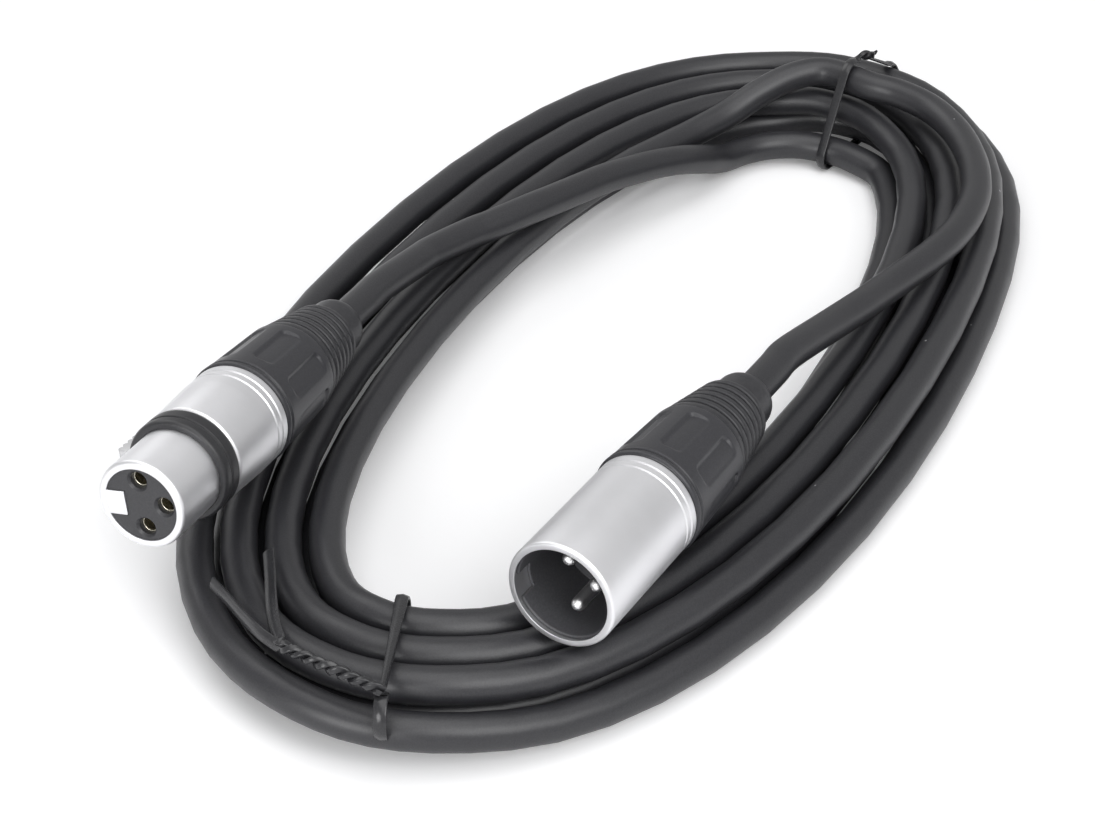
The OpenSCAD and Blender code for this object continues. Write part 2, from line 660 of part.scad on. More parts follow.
socket_start = 1.6;
socket_depth = 12;
module female_socket(angle) {
    color([0.8, 0.78, 0.7]) on_female() at_contact(angle) difference() {
        union() {
            translate([0, 0, socket_start + seat_gap])
                cylinder(r = socket_r, h = female_tail - socket_start - seat_gap, $fn = 32);
            translate([0, 0, female_tail - 1]) cylinder(r = cup_r, h = cup_len + 1, $fn = 32);
        }
        translate([0, 0, socket_start - 1]) cylinder(r = socket_bore_r, h = socket_depth + 1, $fn = 32);
        translate([0, 0, female_tail + 1]) cylinder(r = cup_r - 0.45, h = cup_len, $fn = 32);
    }
}

scallops = 5;
module female_latch() {
    color([0.72, 0.72, 0.74]) on_female() {
        difference() {
            union() {
                translate([lever_in, -latch_w / 2, lever_front])
                    cube([lever_out - lever_in, latch_w, lever_rear - lever_front]);
                translate([lever_out - 0.5, -latch_w / 2, thumb_start])
                    cube([thumb_out - 0.5 - lever_out + 0.5, latch_w, thumb_end - thumb_start]);
                translate([lever_out - 0.5, -tooth_w / 2, tooth_start]) cube([tooth_out - lever_out + 0.5, tooth_w, tooth_len]);
                for (i = [0 : scallops - 1])
                    translate([thumb_out - 0.75, 0, thumb_start + (i + 0.5) * (thumb_end - thumb_start) / scallops])
                        rotate([90, 0, 0]) cylinder(r = 0.62, h = latch_w, center = true, $fn = 24);
            }
            translate([lever_out - 1.5, -latch_w, tooth_start - 3]) rotate([0, -22, 0]) translate([2.8, 0, -4])
                cube([4, 2 * latch_w, 6]);
        }
        translate([pivot_k, 0, latch_pivot]) rotate([90, 0, 0])
            cylinder(r = trunnion_r, h = 2 * trunnion_half, center = true, $fn = 32);
    }
}

// Bowed leaf under the lever, bedded on the floor of the channel
leaf_spring_t = 0.3;
leaf_spring_w = 3;
bow_start = 10;
bow_end = 20.6;
bow_rise = 1.05;
module latch_spring() {
    foot = channel_in + 0.05;
    color([0.7, 0.7, 0.68]) on_female() rotate([90, 0, 0]) linear_extrude(leaf_spring_w, center = true)
        polygon([
            [foot, bow_start - 4], [foot + leaf_spring_t, bow_start - 4], [foot + leaf_spring_t, bow_start],
            [foot + leaf_spring_t + bow_rise, bow_end], [foot + bow_rise, bow_end], [foot, bow_start + 0.3]
        ]);
}

module female_seal_ring() {
    color([0.1, 0.1, 0.1]) on_female() difference() {
        turned_part([
            [nose_d / 2 + seat_gap, seal_start + 0.05], [seal_d / 2 - 0.5, seal_start + 0.05], [seal_d / 2, seal_start + 0.5],
            [seal_d / 2, seal_start + 1.9], [seal_d / 2 - 0.3, seal_start + 2], [seal_d / 2 - 0.3, seal_start + 2.3],
            [seal_d / 2, seal_start + 2.4], [seal_d / 2, seal_end - 0.4], [seal_d / 2 - 0.35, seal_end - 0.05],
            [nose_d / 2 + seat_gap, seal_end - 0.05]
        ]);
        translate([0, -channel_w / 2, window_start - 0.2]) cube([20, channel_w, 20]);
    }
}

strip_t = 0.4;
strip_w = 3;
strip_start = 20;
strip_len = 9;
strip_r = insert_r - 0.25 - strip_t;
module female_ground_contact() {
    color([0.7, 0.7, 0.7]) on_female() rotate([0, 0, 180])
        translate([strip_r, -strip_w / 2, strip_start]) cube([strip_t, strip_w, strip_len]);
}
module female_cores() {
    color([0.75, 0.3, 0.25]) on_female() translate([0, 0, female_len]) cores(insert_tail + cup_len);
}
module female_chuck() {
    color([0.9, 0.9, 0.88]) on_female() translate([0, 0, female_len]) chuck();
}
module female_boot() {
    color([0.2, 0.2, 0.22]) on_female() translate([0, 0, female_len + seat_gap]) boot();
}
module female_gland() {
    color([0.17, 0.17, 0.18]) on_female() translate([0, 0, female_len + seat_gap]) gland();
}

cable_coil();
male_lead();
female_lead();
front_tie();
rear_tie();
male_shell();
male_insert();
male_pin(90);  // male_pin_1
male_pin(270);  // male_pin_2
male_pin(180);  // male_pin_3
male_ground_spring();
male_cores();
male_chuck();
male_boot();
male_gland();
female_shell();
female_insert();
female_socket(90);  // female_socket_1
female_socket(270);  // female_socket_2
female_socket(180);  // female_socket_3
female_latch();
latch_spring();
female_seal_ring();
female_ground_contact();
female_cores();
female_chuck();
female_boot();
female_gland();
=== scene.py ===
"""Coiled microphone cable with its two connectors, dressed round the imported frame."""

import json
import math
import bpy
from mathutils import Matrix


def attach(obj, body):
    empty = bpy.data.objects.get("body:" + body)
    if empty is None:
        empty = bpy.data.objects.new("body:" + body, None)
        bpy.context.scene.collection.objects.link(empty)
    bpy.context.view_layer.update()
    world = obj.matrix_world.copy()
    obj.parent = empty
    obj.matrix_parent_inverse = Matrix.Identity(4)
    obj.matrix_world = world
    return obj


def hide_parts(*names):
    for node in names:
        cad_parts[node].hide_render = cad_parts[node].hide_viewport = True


bl_info = {
    "name": "Microphone Cable Coil",
    "version": (1, 0, 0),
    "blender": (4, 5, 0),
    "location": "View3D > Sidebar > Cable Coil",
    "description": "Builds a coiled microphone cable with a male and a female three-pole connector",
    "category": "Object",
}

import bmesh
import bpy
from bpy.props import FloatProperty, FloatVectorProperty, IntProperty, PointerProperty
from bpy.types import Operator, Panel, PropertyGroup
from mathutils import Matrix, Vector

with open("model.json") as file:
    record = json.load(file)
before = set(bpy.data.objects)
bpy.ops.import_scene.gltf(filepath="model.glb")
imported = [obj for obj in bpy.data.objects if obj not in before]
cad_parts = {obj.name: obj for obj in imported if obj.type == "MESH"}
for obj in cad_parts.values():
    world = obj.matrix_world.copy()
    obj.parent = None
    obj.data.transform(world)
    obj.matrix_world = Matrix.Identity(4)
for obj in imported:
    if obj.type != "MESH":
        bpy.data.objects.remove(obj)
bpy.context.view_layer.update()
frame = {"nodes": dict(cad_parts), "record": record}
MM = 0.001
MOUNTS = {mount["name"]: mount for mount in frame["record"]["mounts"]}


# ---------------- user settings

def length(name, value, description):
    return FloatProperty(name=name, default=value * MM, unit="LENGTH", precision=5, description=description)


def colour(name, value, description):
    return FloatVectorProperty(
        name=name, default=value, size=3, subtype="COLOR", min=0, max=1, description=description)


class CableSettings(PropertyGroup):
    diameter: length("Cable diameter", 6.4, "Outer diameter of the jacket")
    pitch: length("Pitch", 7.0, "Distance between two passes of the coil")
    half_long: length("Half length", 116.5, "Half length of the coil's middle line")
    half_wide: length("Half width", 49, "Half width of the coil's middle line")
    turns: FloatProperty(name="Turns", default=6.71, description="Turns of the cable in the coil")
    jacket: colour("Jacket", (0.0155, 0.0155, 0.018), "Colour of the jacket")
    tie: colour("Tie", (0.02, 0.02, 0.022), "Colour of the ties")


class ConnectorSettings(PropertyGroup):
    male_d: length("Male shell", 19, "Outer diameter of the male shell")
    male_len: length("Male shell length", 28.2, "Length of the male shell in front of the boot")
    nose_d: length("Nose", 15.8, "Outer diameter of the female nose")
    nose_len: length("Nose length", 11.4, "Length of the nose in front of the rubber ring")
    body_d: length("Body", 19.2, "Outer diameter of the female body")
    female_len: length("Female shell length", 32.3, "Length from the rim of the nose to the boot")
    boot_d: length("Boot", 19.8, "Diameter of the boot over its front bead")
    grip_len: length("Grip", 18.4, "Length of the hard grip part")
    flutes: IntProperty(name="Flutes", default=8, min=4, max=12, description="Grip hollows round a boot")
    nickel: colour("Nickel", (0.84, 0.84, 0.86), "Colour of the plated shells")
    boot: colour("Boot colour", (0.027, 0.027, 0.031), "Colour of the boots")


class StageSettings(PropertyGroup):
    floor: colour("Floor", (0.97, 0.97, 0.98), "Colour of the floor and backdrop")
    key_power: FloatProperty(
        name="Key lamp", default=6.6, unit="POWER", description="Power that every lamp takes a share of")


# ---------------- places

def place_of(face, first, second):
    """Local frame of a connector: origin on its rim, +Z along it, +Y from contact 2 to contact 1."""
    along = -Vector(MOUNTS[face]["axis"]).normalized()
    across = Vector(MOUNTS[first]["pos_m"]) - Vector(MOUNTS[second]["pos_m"])
    across = (across - along * across.dot(along)).normalized()
    key_side = across.cross(along)
    turn = Matrix((key_side, across, along)).transposed().to_4x4()
    return Matrix.Translation(Vector(MOUNTS[face]["pos_m"])) @ turn


MALE = place_of("male_mating_face", "pin_1", "pin_2")
FEMALE = place_of("female_mating_face", "socket_1", "socket_2")
CONTACT_R = 4.2
CONTACTS = [(CONTACT_R * math.cos(a), CONTACT_R * math.sin(a)) for a in map(math.radians, (90, 270, 180))]


# ---------------- mesh helpers (sizes in millimetres)

def arc_corner(before, corner, after, radius, steps=4):
    """Points that round one corner of an outline."""
    here = Vector(corner[:2])
    into, out = Vector(before[:2]) - here, Vector(after[:2]) - here
    reach = min(radius, 0.45 * into.length, 0.45 * out.length)
    if reach < 1e-4:
        return [tuple(here)]
    start, end = here + into.normalized() * reach, here + out.normalized() * reach
    points = []
    for i in range(steps + 1):
        t = i / steps
        points.append(tuple(start * (1 - t) ** 2 + here * 2 * t * (1 - t) + end * t ** 2))
    return points


def soften(outline, radius=0.12, closed=True):
    """Rounds the corners of a closed outline; a third value at a point is its own radius."""
    count = len(outline)
    points = []
    for i, corner in enumerate(outline):
        if not closed and i in (0, count - 1):
            points.append(tuple(corner[:2]))
            continue
        own = corner[2] if len(corner) > 2 else radius
        points += arc_corner(outline[i - 1], corner, outline[(i + 1) % count], own)
    return points


def lathe(outline, steps=144, closed=True):
    """Revolves an outline of (radius, height) points round Z."""
    bm = bmesh.new()
    verts = [bm.verts.new((r * MM, 0, z * MM)) for r, z in outline]
    pairs = list(zip(verts, verts[1:] + verts[:1])) if closed else list(zip(verts, verts[1:]))
    edges = [bm.edges.new(pair) for pair in pairs]
    bmesh.ops.spin(bm, geom=verts + edges, cent=(0, 0, 0), axis=(0, 0, 1), angle=2 * math.pi,
                   steps=steps, use_merge=True, use_duplicate=False)
    bmesh.ops.remove_doubles(bm, verts=bm.verts, dist=1e-6)
    bmesh.ops.dissolve_degenerate(bm, edges=bm.edges, dist=1e-7)
    bmesh.ops.recalc_face_normals(bm, faces=bm.faces)
    return bm


def block(size, centre, bevel=0.0, segments=2):
    """A box with softened edges."""
    bm = bmesh.new()
    bmesh.ops.create_cube(bm, size=1.0)
    bmesh.ops.scale(bm, vec=Vector(size) * MM, verts=bm.verts)
    if bevel:
        bmesh.ops.bevel(bm, geom=list(bm.edges), offset=bevel * MM, segments=segments, profile=0.5,
                        affect="EDGES", material=-1)
    bmesh.ops.translate(bm, vec=Vector(centre) * MM, verts=bm.verts)
    return bm


def cone(r1, r2, low, high, at=(0, 0), segments=48):
    """A closed cone or cylinder along Z."""
    bm = bmesh.new()
    bmesh.ops.create_cone(bm, cap_ends=True, segments=segments, radius1=r1 * MM, radius2=r2 * MM,
                          depth=(high - low) * MM)
    bmesh.ops.translate(bm, vec=Vector((at[0], at[1], (low + high) / 2)) * MM, verts=bm.verts)
    return bm


def join(*parts):
    """One bmesh that holds several."""
    whole = parts[0]
    for part in parts[1:]:
        shell = bpy.data.meshes.new("join")
        part.to_mesh(shell)
        part.free()
        whole.from_mesh(shell)
        bpy.data.meshes.remove(shell)
    return whole


def add_object(name, data):
    obj = bpy.data.objects.new(name, data)
    bpy.context.scene.collection.objects.link(obj)
    return obj


def to_object(bm, name):
    mesh = bpy.data.meshes.new(name)
    bm.to_mesh(mesh)
    bm.free()
    return add_object(name, mesh)


def combine(bm, tool, operation="DIFFERENCE"):
    """Cuts a closed bmesh with another, or joins them."""
    body, cutter = to_object(bm, "body"), to_object(tool, "cutter")
    step = body.modifiers.new("cut", "BOOLEAN")
    step.operation = operation
    step.solver = "EXACT"
    step.object = cutter
    result = bpy.data.meshes.new_from_object(body.evaluated_get(bpy.context.evaluated_depsgraph_get()))
    out = bmesh.new()
    out.from_mesh(result)
    for obj in (body, cutter):
        mesh = obj.data
        bpy.data.objects.remove(obj)
        bpy.data.meshes.remove(mesh)
    bpy.data.meshes.remove(result)
    bmesh.ops.remove_doubles(out, verts=out.verts, dist=1e-7)
    return out


def turned(bm, degrees, axis="Z"):
    turn = Matrix.Rotation(math.radians(degrees), 3, axis)
    bmesh.ops.rotate(bm, cent=(0, 0, 0), matrix=turn, verts=bm.verts)
    return bm


def at_contacts(outline, closed=True):
    """The same revolved piece at each of the three contact places."""
    parts = []
    for place in CONTACTS:
        part = lathe(outline, steps=48, closed=closed)
        bmesh.ops.translate(part, vec=Vector((*place, 0)) * MM, verts=part.verts)
        parts.append(part)
    return join(*parts)


def drilled(bm, *holes):
    """Cuts the same round holes, each (radius below, radius above, low, high), at each contact place."""
    for place in CONTACTS:
        for hole in holes:
            bm = combine(bm, cone(*hole, place))
    return bm


def finish_piece(bm, name, body, material, place=Matrix.Identity(4), stands_for=(), sharp=32):
    """Smooth-shaded object at the origin that rides on a body."""
    bmesh.ops.transform(bm, matrix=place, verts=bm.verts)
    limit = math.radians(sharp)
    for edge in bm.edges:
        edge.smooth = edge.calc_face_angle(0) < limit
    for face in bm.faces:
        face.smooth = True
    obj = to_object(bm, name)
    obj.data.materials.append(material)
    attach(obj, body)
    if stands_for:
        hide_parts(*stands_for)
    return obj


# ---------------- node groups

def group(name, inputs, outputs):
    """An empty node group with float or vector inputs and outputs."""
    tree = bpy.data.node_groups.new(name, "ShaderNodeTree")
    for label, default in inputs:
        kind = "NodeSocketVector" if default is None else "NodeSocketFloat"
        socket = tree.interface.new_socket(label, in_out="INPUT", socket_type=kind)
        if default is not None:
            socket.default_value = default
    for label in outputs:
        tree.interface.new_socket(label, in_out="OUTPUT", socket_type="NodeSocketFloat")
    return tree, tree.nodes.new("NodeGroupInput"), tree.nodes.new("NodeGroupOutput")


def set_inputs(node, values):
    for label, value in values.items():
        node.inputs[label].default_value = value


def math_node(tree, operation, a, b):
    node = tree.nodes.new("ShaderNodeMath")
    node.operation = operation
    for i, value in enumerate((a, b)):
        if isinstance(value, (int, float)):
            node.inputs[i].default_value = value
        else:
            tree.links.new(value, node.inputs[i])
    return node.outputs[0]


def noise(tree, vector, scale, detail, roughness=0.5):
    node = tree.nodes.new("ShaderNodeTexNoise")
    set_inputs(node, {"Detail": detail, "Roughness": roughness})
    tree.links.new(vector, node.inputs["Vector"])
    tree.links.new(scale, node.inputs["Scale"])
    return node.outputs["Fac"]


def ramp(tree, value, **ends):
    """Straight ramp; the ends that aren't named are 0 and 1."""
    node = tree.nodes.new("ShaderNodeMapRange")
    set_inputs(node, {label.replace("_", " "): end for label, end in ends.items()})
    tree.links.new(value, node.inputs["Value"])
    return node.outputs["Result"]


def grain_group():
    """Fine surface grain with a slower unevenness under it."""
    tree, start, end = group("Grain", [("Vector", None), ("Fine Scale", 2500.0), ("Slow Scale", 120.0)],
                             ["Height", "Unevenness"])
    fine = noise(tree, start.outputs["Vector"], start.outputs["Fine Scale"], 3.0, 0.65)
    slow = noise(tree, start.outputs["Vector"], start.outputs["Slow Scale"], 3.0)
    tree.links.new(fine, end.inputs["Height"])
    tree.links.new(slow, end.inputs["Unevenness"])
    return tree


def dust_and_glint_group():
    """Sparse pale specks: small dots of different sizes, more of them in some places; they are dust, and
    where the share is raised, as on the sleeve, partly painted glints.
    """
    tree, start, end = group("Dust", [("Vector", None), ("Scale", 300.0), ("Size", 0.1), ("Share", 0.5)],
                             ["Mask"])
    cells = tree.nodes.new("ShaderNodeTexVoronoi")
    tree.links.new(start.outputs["Vector"], cells.inputs["Vector"])
    tree.links.new(start.outputs["Scale"], cells.inputs["Scale"])
    chance = tree.nodes.new("ShaderNodeSeparateColor")
    tree.links.new(cells.outputs["Color"], chance.inputs["Color"])
    near = math_node(tree, "LESS_THAN", cells.outputs["Distance"],
                     math_node(tree, "MULTIPLY", start.outputs["Size"], chance.outputs["Green"]))
    kept = math_node(tree, "LESS_THAN", chance.outputs["Red"], start.outputs["Share"])
    tree.links.new(math_node(tree, "MULTIPLY", near, kept), end.inputs["Mask"])
    return tree


def smudge_group():
    """Cloudy marks of handling."""
    tree, start, end = group("Smudges", [("Vector", None), ("Scale", 60.0)], ["Mask"])
    cloud = noise(tree, start.outputs["Vector"], start.outputs["Scale"], 5.0, 0.6)
    tree.links.new(ramp(tree, cloud, From_Min=0.42, From_Max=0.68), end.inputs["Mask"])
    return tree


def shared_group(name, maker):
    return bpy.data.node_groups.get(name) or maker()


class Surface:
    """A Principled material with the shared groups wired in."""

    def __init__(self, name, colour, roughness, metallic=0.0, specular=0.5):
        material = bpy.data.materials.new(name)
        material.use_nodes = True
        self.tree = material.node_tree
        self.shader = self.tree.nodes["Principled BSDF"]
        self.colour = tuple(colour)
        self.colour_socket = None
        set_inputs(self.shader, {"Metallic": metallic, "Roughness": roughness,
                                 "Specular IOR Level": specular, "Base Color": (*self.colour, 1)})
        self.vector = self.tree.nodes.new("ShaderNodeTexCoord").outputs["Object"]

    def place_group(self, name, maker, **values):
        node = self.tree.nodes.new("ShaderNodeGroup")
        node.node_tree = shared_group(name, maker)
        self.tree.links.new(self.vector, node.inputs["Vector"])
        set_inputs(node, {label.replace("_", " "): value for label, value in values.items()})
        return node

    def tint(self, mask, colour, strength=1.0):
        """Mixes a second colour in where the mask is 1."""
        mix = self.tree.nodes.new("ShaderNodeMix")
        mix.data_type = "RGBA"
        self.tree.links.new(math_node(self.tree, "MULTIPLY", mask, strength), mix.inputs["Factor"])
        if self.colour_socket:
            self.tree.links.new(self.colour_socket, mix.inputs["A"])
        else:
            mix.inputs["A"].default_value = (*self.colour, 1)
        mix.inputs["B"].default_value = (*colour, 1)
        self.colour_socket = mix.outputs["Result"]
        self.tree.links.new(self.colour_socket, self.shader.inputs["Base Color"])

    def vary_roughness(self, mask, low, high):
        level = ramp(self.tree, mask, To_Min=low, To_Max=high)
        self.tree.links.new(level, self.shader.inputs["Roughness"])

    def bump(self, height, distance, strength=1.0):
        node = self.tree.nodes.new("ShaderNodeBump")
        set_inputs(node, {"Distance": distance * MM, "Strength": strength})
        self.tree.links.new(height, node.inputs["Height"])
        self.tree.links.new(node.outputs["Normal"], self.shader.inputs["Normal"])


def jacket_material(colour):
    surface = Surface("cable jacket", colour, 0.42, specular=0.55)
    grain = surface.place_group("Grain", grain_group, Fine_Scale=3600.0, Slow_Scale=90.0)
    surface.vary_roughness(grain.outputs["Unevenness"], 0.33, 0.46)
    paler = ramp(surface.tree, grain.outputs["Height"], From_Min=0.35, From_Max=0.8)
    surface.tint(paler, (0.05, 0.05, 0.056), 0.5)
    dust_and_glints = surface.place_group("Dust", dust_and_glint_group, Scale=260.0, Size=0.09, Share=0.12)
    surface.tint(dust_and_glints.outputs["Mask"], (0.45, 0.45, 0.47), 0.8)
    surface.bump(grain.outputs["Height"], 0.045, 0.6)


def nickel_material(colour):
    surface = Surface("satin nickel", colour, 0.34, metallic=1.0)
    grain = surface.place_group("Grain", grain_group, Fine_Scale=5000.0, Slow_Scale=45.0)
    smudge = surface.place_group("Smudges", smudge_group, Scale=70.0)
    surface.tint(smudge.outputs["Mask"], tuple(c * 0.9 for c in colour), 0.5)
    surface.vary_roughness(grain.outputs["Unevenness"], 0.36, 0.5)
    surface.bump(grain.outputs["Height"], 0.018, 0.6)


def plastic_material(name, colour, roughness, grain_scale=3000.0, depth=0.02, dust_and_glints=0.06):
    surface = Surface(name, colour, roughness, specular=0.45)
    grain = surface.place_group("Grain", grain_group, Fine_Scale=grain_scale, Slow_Scale=100.0)
    surface.vary_roughness(grain.outputs["Unevenness"], roughness - 0.07, roughness + 0.1)
    paler = ramp(surface.tree, grain.outputs["Height"], From_Min=0.4, From_Max=0.8)
    surface.tint(paler, tuple(c * 1.9 + 0.01 for c in colour), 0.45)
    # Pale specks: dust, and where the share is raised, as on the sleeve, partly painted glints.
    specks = surface.place_group("Dust", dust_and_glint_group, Scale=320.0, Size=0.08, Share=dust_and_glints)
    surface.tint(specks.outputs["Mask"], (0.4, 0.4, 0.42), 0.7)
    surface.bump(grain.outputs["Height"], depth, 0.5)


def metal_material(name, colour, roughness):
    surface = Surface(name, colour, roughness, metallic=1.0)
    grain = surface.place_group("Grain", grain_group, Fine_Scale=4000.0, Slow_Scale=150.0)
    surface.vary_roughness(grain.outputs["Unevenness"], roughness * 0.7, roughness * 1.4)
    surface.bump(grain.outputs["Height"], 0.004, 0.3)


PLASTICS = {
    # The sleeve's larger share of pale specks is partly dust and partly painted glints standing in for
    # speckled highlights on its rib crests.
    "sleeve rubber": ((0.022, 0.022, 0.025), 0.36, 1500.0, 0.1, 0.16),
    "insert plastic": ((0.03, 0.03, 0.033), 0.38, 3000.0, 0.01, 0.03),
    "liner plastic": ((0.06, 0.06, 0.065), 0.42, 3000.0, 0.01, 0.03),
    "seal rubber": ((0.02, 0.02, 0.022), 0.36, 3000.0, 0.01, 0.05),
    "collet plastic": ((0.7, 0.7, 0.66), 0.35, 3000.0, 0.01, 0.02),
    "core insulation": ((0.45, 0.1, 0.08), 0.4, 3000.0, 0.01, 0.02),
}
METALS = {
    "bright contact": ((0.94, 0.94, 0.94), 0.34),
    "silvered brass": ((0.78, 0.74, 0.62), 0.22),
    "latch metal": ((0.6, 0.6, 0.61), 0.45),
    "spring steel": ((0.86, 0.86, 0.86), 0.36),
}


def materials():
    """The object's finishes by name, made on the first call."""
    if "cable jacket" not in bpy.data.materials:
        cable, connector = bpy.context.scene.cable, bpy.context.scene.connector
        jacket_material(cable.jacket)
        nickel_material(connector.nickel)
        plastic_material("boot plastic", connector.boot, 0.35)
        plastic_material("tie plastic", cable.tie, 0.24, 2500.0, 0.015)
        for name, values in PLASTICS.items():
            plastic_material(name, *values)
        for name, values in METALS.items():
            metal_material(name, *values)
    return bpy.data.materials


# ---------------- the cable's route (millimetres)

COIL_START = -43
RING_CROWDING = 13
OVAL_FLAT = 0.025
COIL_CENTRE = (0, -0.8)
CORNER_AT, CORNER_BULGE = -36, 4
SWAY_AT, TOP_SWAY = -10, 0.45
SPREADS = ((0.06, -75), (0.23, 85), (0.35, 5))
TIE_ANGLES = (186, -9)
TIE_LIFT = 1.25
JACKET_START = 16
SLEEVE_END = 43
FEMALE_POINTS = [
    (-12, 42, 18.4), (-6.2, 41.5, 17.8), (4.7, 38.6, 17), (9.3, 36.6, 16.8), (14.2, 34.4, 16.8),
    (20.1, 32, 16.7), (26.8, 29.8, 16.1), (34.6, 27.5, 15.3), (42.1, 25.2, 14.5), (49.2, 22.6, 13.4),
    (56.5, 19.6, 12.2), (63.5, 16.4, 10.6), (70.5, 14, 8), (78, 12.3, 5), (84.6, 9.6, 4.4),
    (89.4, 5, 4.5), (92.4, -1.2, 4.6), (93.3, -8.4, 4.3), (92, -14.6, 4),
]
MALE_POINTS = [
    (-1.2, -40.1, 19.3), (9.8, -42.5, 18.2), (18.7, -44.3, 17.4), (26.9, -46.3, 17.1), (35.4, -48.4, 17),
    (44, -49.9, 17), (53.8, -50.3, 17), (64.9, -49, 17), (76.7, -44.9, 17.2), (88.2, -38.1, 17.3),
    (96.4, -29.9, 17.6), (99.8, -21.2, 18.2), (100.3, -13.5, 18.6), (103, -3, 18.6), (99.4, 3.7, 17.7),
    (93.4, 9.8, 14.8), (86.6, 14.9, 11.3),
]


def smooth(x):
    x = min(max(x, 0), 1)
    return x * x * (3 - 2 * x)


def from_angle(a, other):
    return abs((a - other + 180) % 360 - 180)


def lobe(a, at):
    return max(0, math.cos(math.radians(a - at))) ** 2


def outward(a, cable):
    a = math.radians(a)
    along = Vector((cable.half_long * (3 * OVAL_FLAT * math.sin(3 * a) - math.sin(a)),
                    cable.half_wide * math.cos(a))).normalized()
    return Vector((along.y, -along.x))


def mid_line(a, cable):
    turn = math.radians(a)
    oval = Vector((cable.half_long / MM * (math.cos(turn) - OVAL_FLAT * math.cos(3 * turn)),
                   cable.half_wide / MM * math.sin(turn)))
    return Vector(COIL_CENTRE) + oval + outward(a, cable) * CORNER_BULGE * lobe(a, CORNER_AT) ** 3


def spread(a):
    return 1 + sum(s * lobe(a, at) for s, at in SPREADS)


def coil_angle(t):
    u = COIL_START - 360 * t
    return u - RING_CROWDING * math.sin(math.radians(2 * u))


def pass_number(t, cable):
    """How many passes out from the middle line the cable lies after t turns: outwards, then back on top."""
    half = cable.turns / 2
    if t < half:
        return t - half / 2
    return 1.5 * half - t - TOP_SWAY * lobe(coil_angle(t), SWAY_AT) ** 2


def coil_point(t, cable):
    a = coil_angle(t)
    out = cable.pitch / MM * spread(a) * pass_number(t, cable)
    flat = mid_line(a, cable) + outward(a, cable) * out
    lift = sum(TIE_LIFT * smooth((28 - from_angle(a, tie)) / 20) for tie in TIE_ANGLES)
    radius = cable.diameter / MM / 2
    height = radius + 2 * radius * smooth((t - cable.turns / 2 + 0.25) / 0.5) + lift
    return Vector((flat.x, flat.y, height))


def curve_through(points, steps):
    """Catmull-Rom points through the chosen ones."""
    points = [Vector(p) for p in points]
    ends = [2 * points[0] - points[1]] + points + [2 * points[-1] - points[-2]]
    out = []
    for a, b, c, d in zip(ends, ends[1:], ends[2:], ends[3:]):
        for i in range(steps):
            t = i / steps
            out.append(0.5 * (2 * b + (c - a) * t + (2 * a - 5 * b + 4 * c - d) * t * t
                              + (3 * b - a - 3 * c + d) * t ** 3))
    return out + [points[-1]]


def straight_out(place, body_len, stops):
    """Points on a connector's own axis."""
    return [(place @ Vector((0, 0, (body_len + s) * MM))) / MM for s in stops]


def cable_route(cable, connector):
    """The whole cable from the female connector, once through the coil, to the male one."""
    d = cable.diameter / MM
    steps = round(cable.turns * 60)
    coil = [coil_point(cable.turns * i / steps, cable) for i in range(steps + 1)]
    onward = (coil[-1] - coil[-2]).normalized()
    stops = (JACKET_START, 30, SLEEVE_END, SLEEVE_END + d, SLEEVE_END + 2 * d)
    female = straight_out(FEMALE, connector.female_len / MM, stops)
    male = straight_out(MALE, connector.male_len / MM, stops)
    first = curve_through(female + FEMALE_POINTS + coil[1:3], 5)
    last = curve_through([coil[-1] + onward * d] + MALE_POINTS[::-1] + male[::-1], 5)
    return first + coil[3:] + last


class COIL_OT_cable(Operator):
    """Adds the one unbroken cable, from connector to connector through the coil"""
    bl_idname = "coil.cable"
    bl_label = "Cable"

    def execute(self, context):
        cable, connector = context.scene.cable, context.scene.connector
        route = [p * MM for p in cable_route(cable, connector)]
        curve = bpy.data.curves.new("cable", "CURVE")
        curve.dimensions = "3D"
        curve.bevel_depth = cable.diameter / 2
        curve.bevel_resolution = 8
        curve.use_fill_caps = True
        curve.twist_mode = "Z_UP"
        spline = curve.splines.new("POLY")
        spline.points.add(len(route) - 1)
        for point, place in zip(spline.points, route):
            point.co = (*place, 1)
        spline.use_smooth = True
        obj = add_object("cable", curve)
        curve.materials.append(materials()["cable jacket"])
        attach(obj, "root")
        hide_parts("cable_coil", "male_lead", "female_lead")
        return {"FINISHED"}


# ---------------- boots and sleeves

GRIP_FRONT_R = 9.7
GRIP_REAR_R = 9.12
GRIP_START = 2.5
GRIP_ROWS = 72
BEAD_R = 0.72
BEAD_AT = 0.78
SECOND_BEAD = ((-0.02, 1.78), (0.1, 1.95), (0.1, 2.15), (-0.02, 2.35))
BOOT_THREAD_R = 8.2
BOOT_THREAD_END = 7.4
BOOT_CONE_R = 7.3
BOOT_TAIL_R = 6.5
FLUTE_DEPTH = 0.65
FLUTE_HALF_W = 2.3
FLUTE_ENDS = (4.4, 16.6)
FLUTE_CORNER = 1.4
FLUTE_EDGE = 0.7


def flute_depth(angle, s, radius, count):
    """Depth of the grip hollows, each a scoop that is deepest along one side."""
    pitch = 2 * math.pi / count
    across = ((angle / pitch) % 1 - 0.5) * pitch * radius
    middle, half_len = sum(FLUTE_ENDS) / 2, (FLUTE_ENDS[1] - FLUTE_ENDS[0]) / 2
    x = abs(across) - FLUTE_HALF_W + FLUTE_CORNER
    y = abs(s - middle) - half_len + FLUTE_CORNER
    outside = math.hypot(max(x, 0), max(y, 0)) + min(max(x, y), 0) - FLUTE_CORNER
    rise = min(max((across + FLUTE_HALF_W) / (2 * FLUTE_HALF_W), 0), 1)
    return FLUTE_DEPTH * smooth(-outside / FLUTE_EDGE) * (1 - 0.82 * rise)


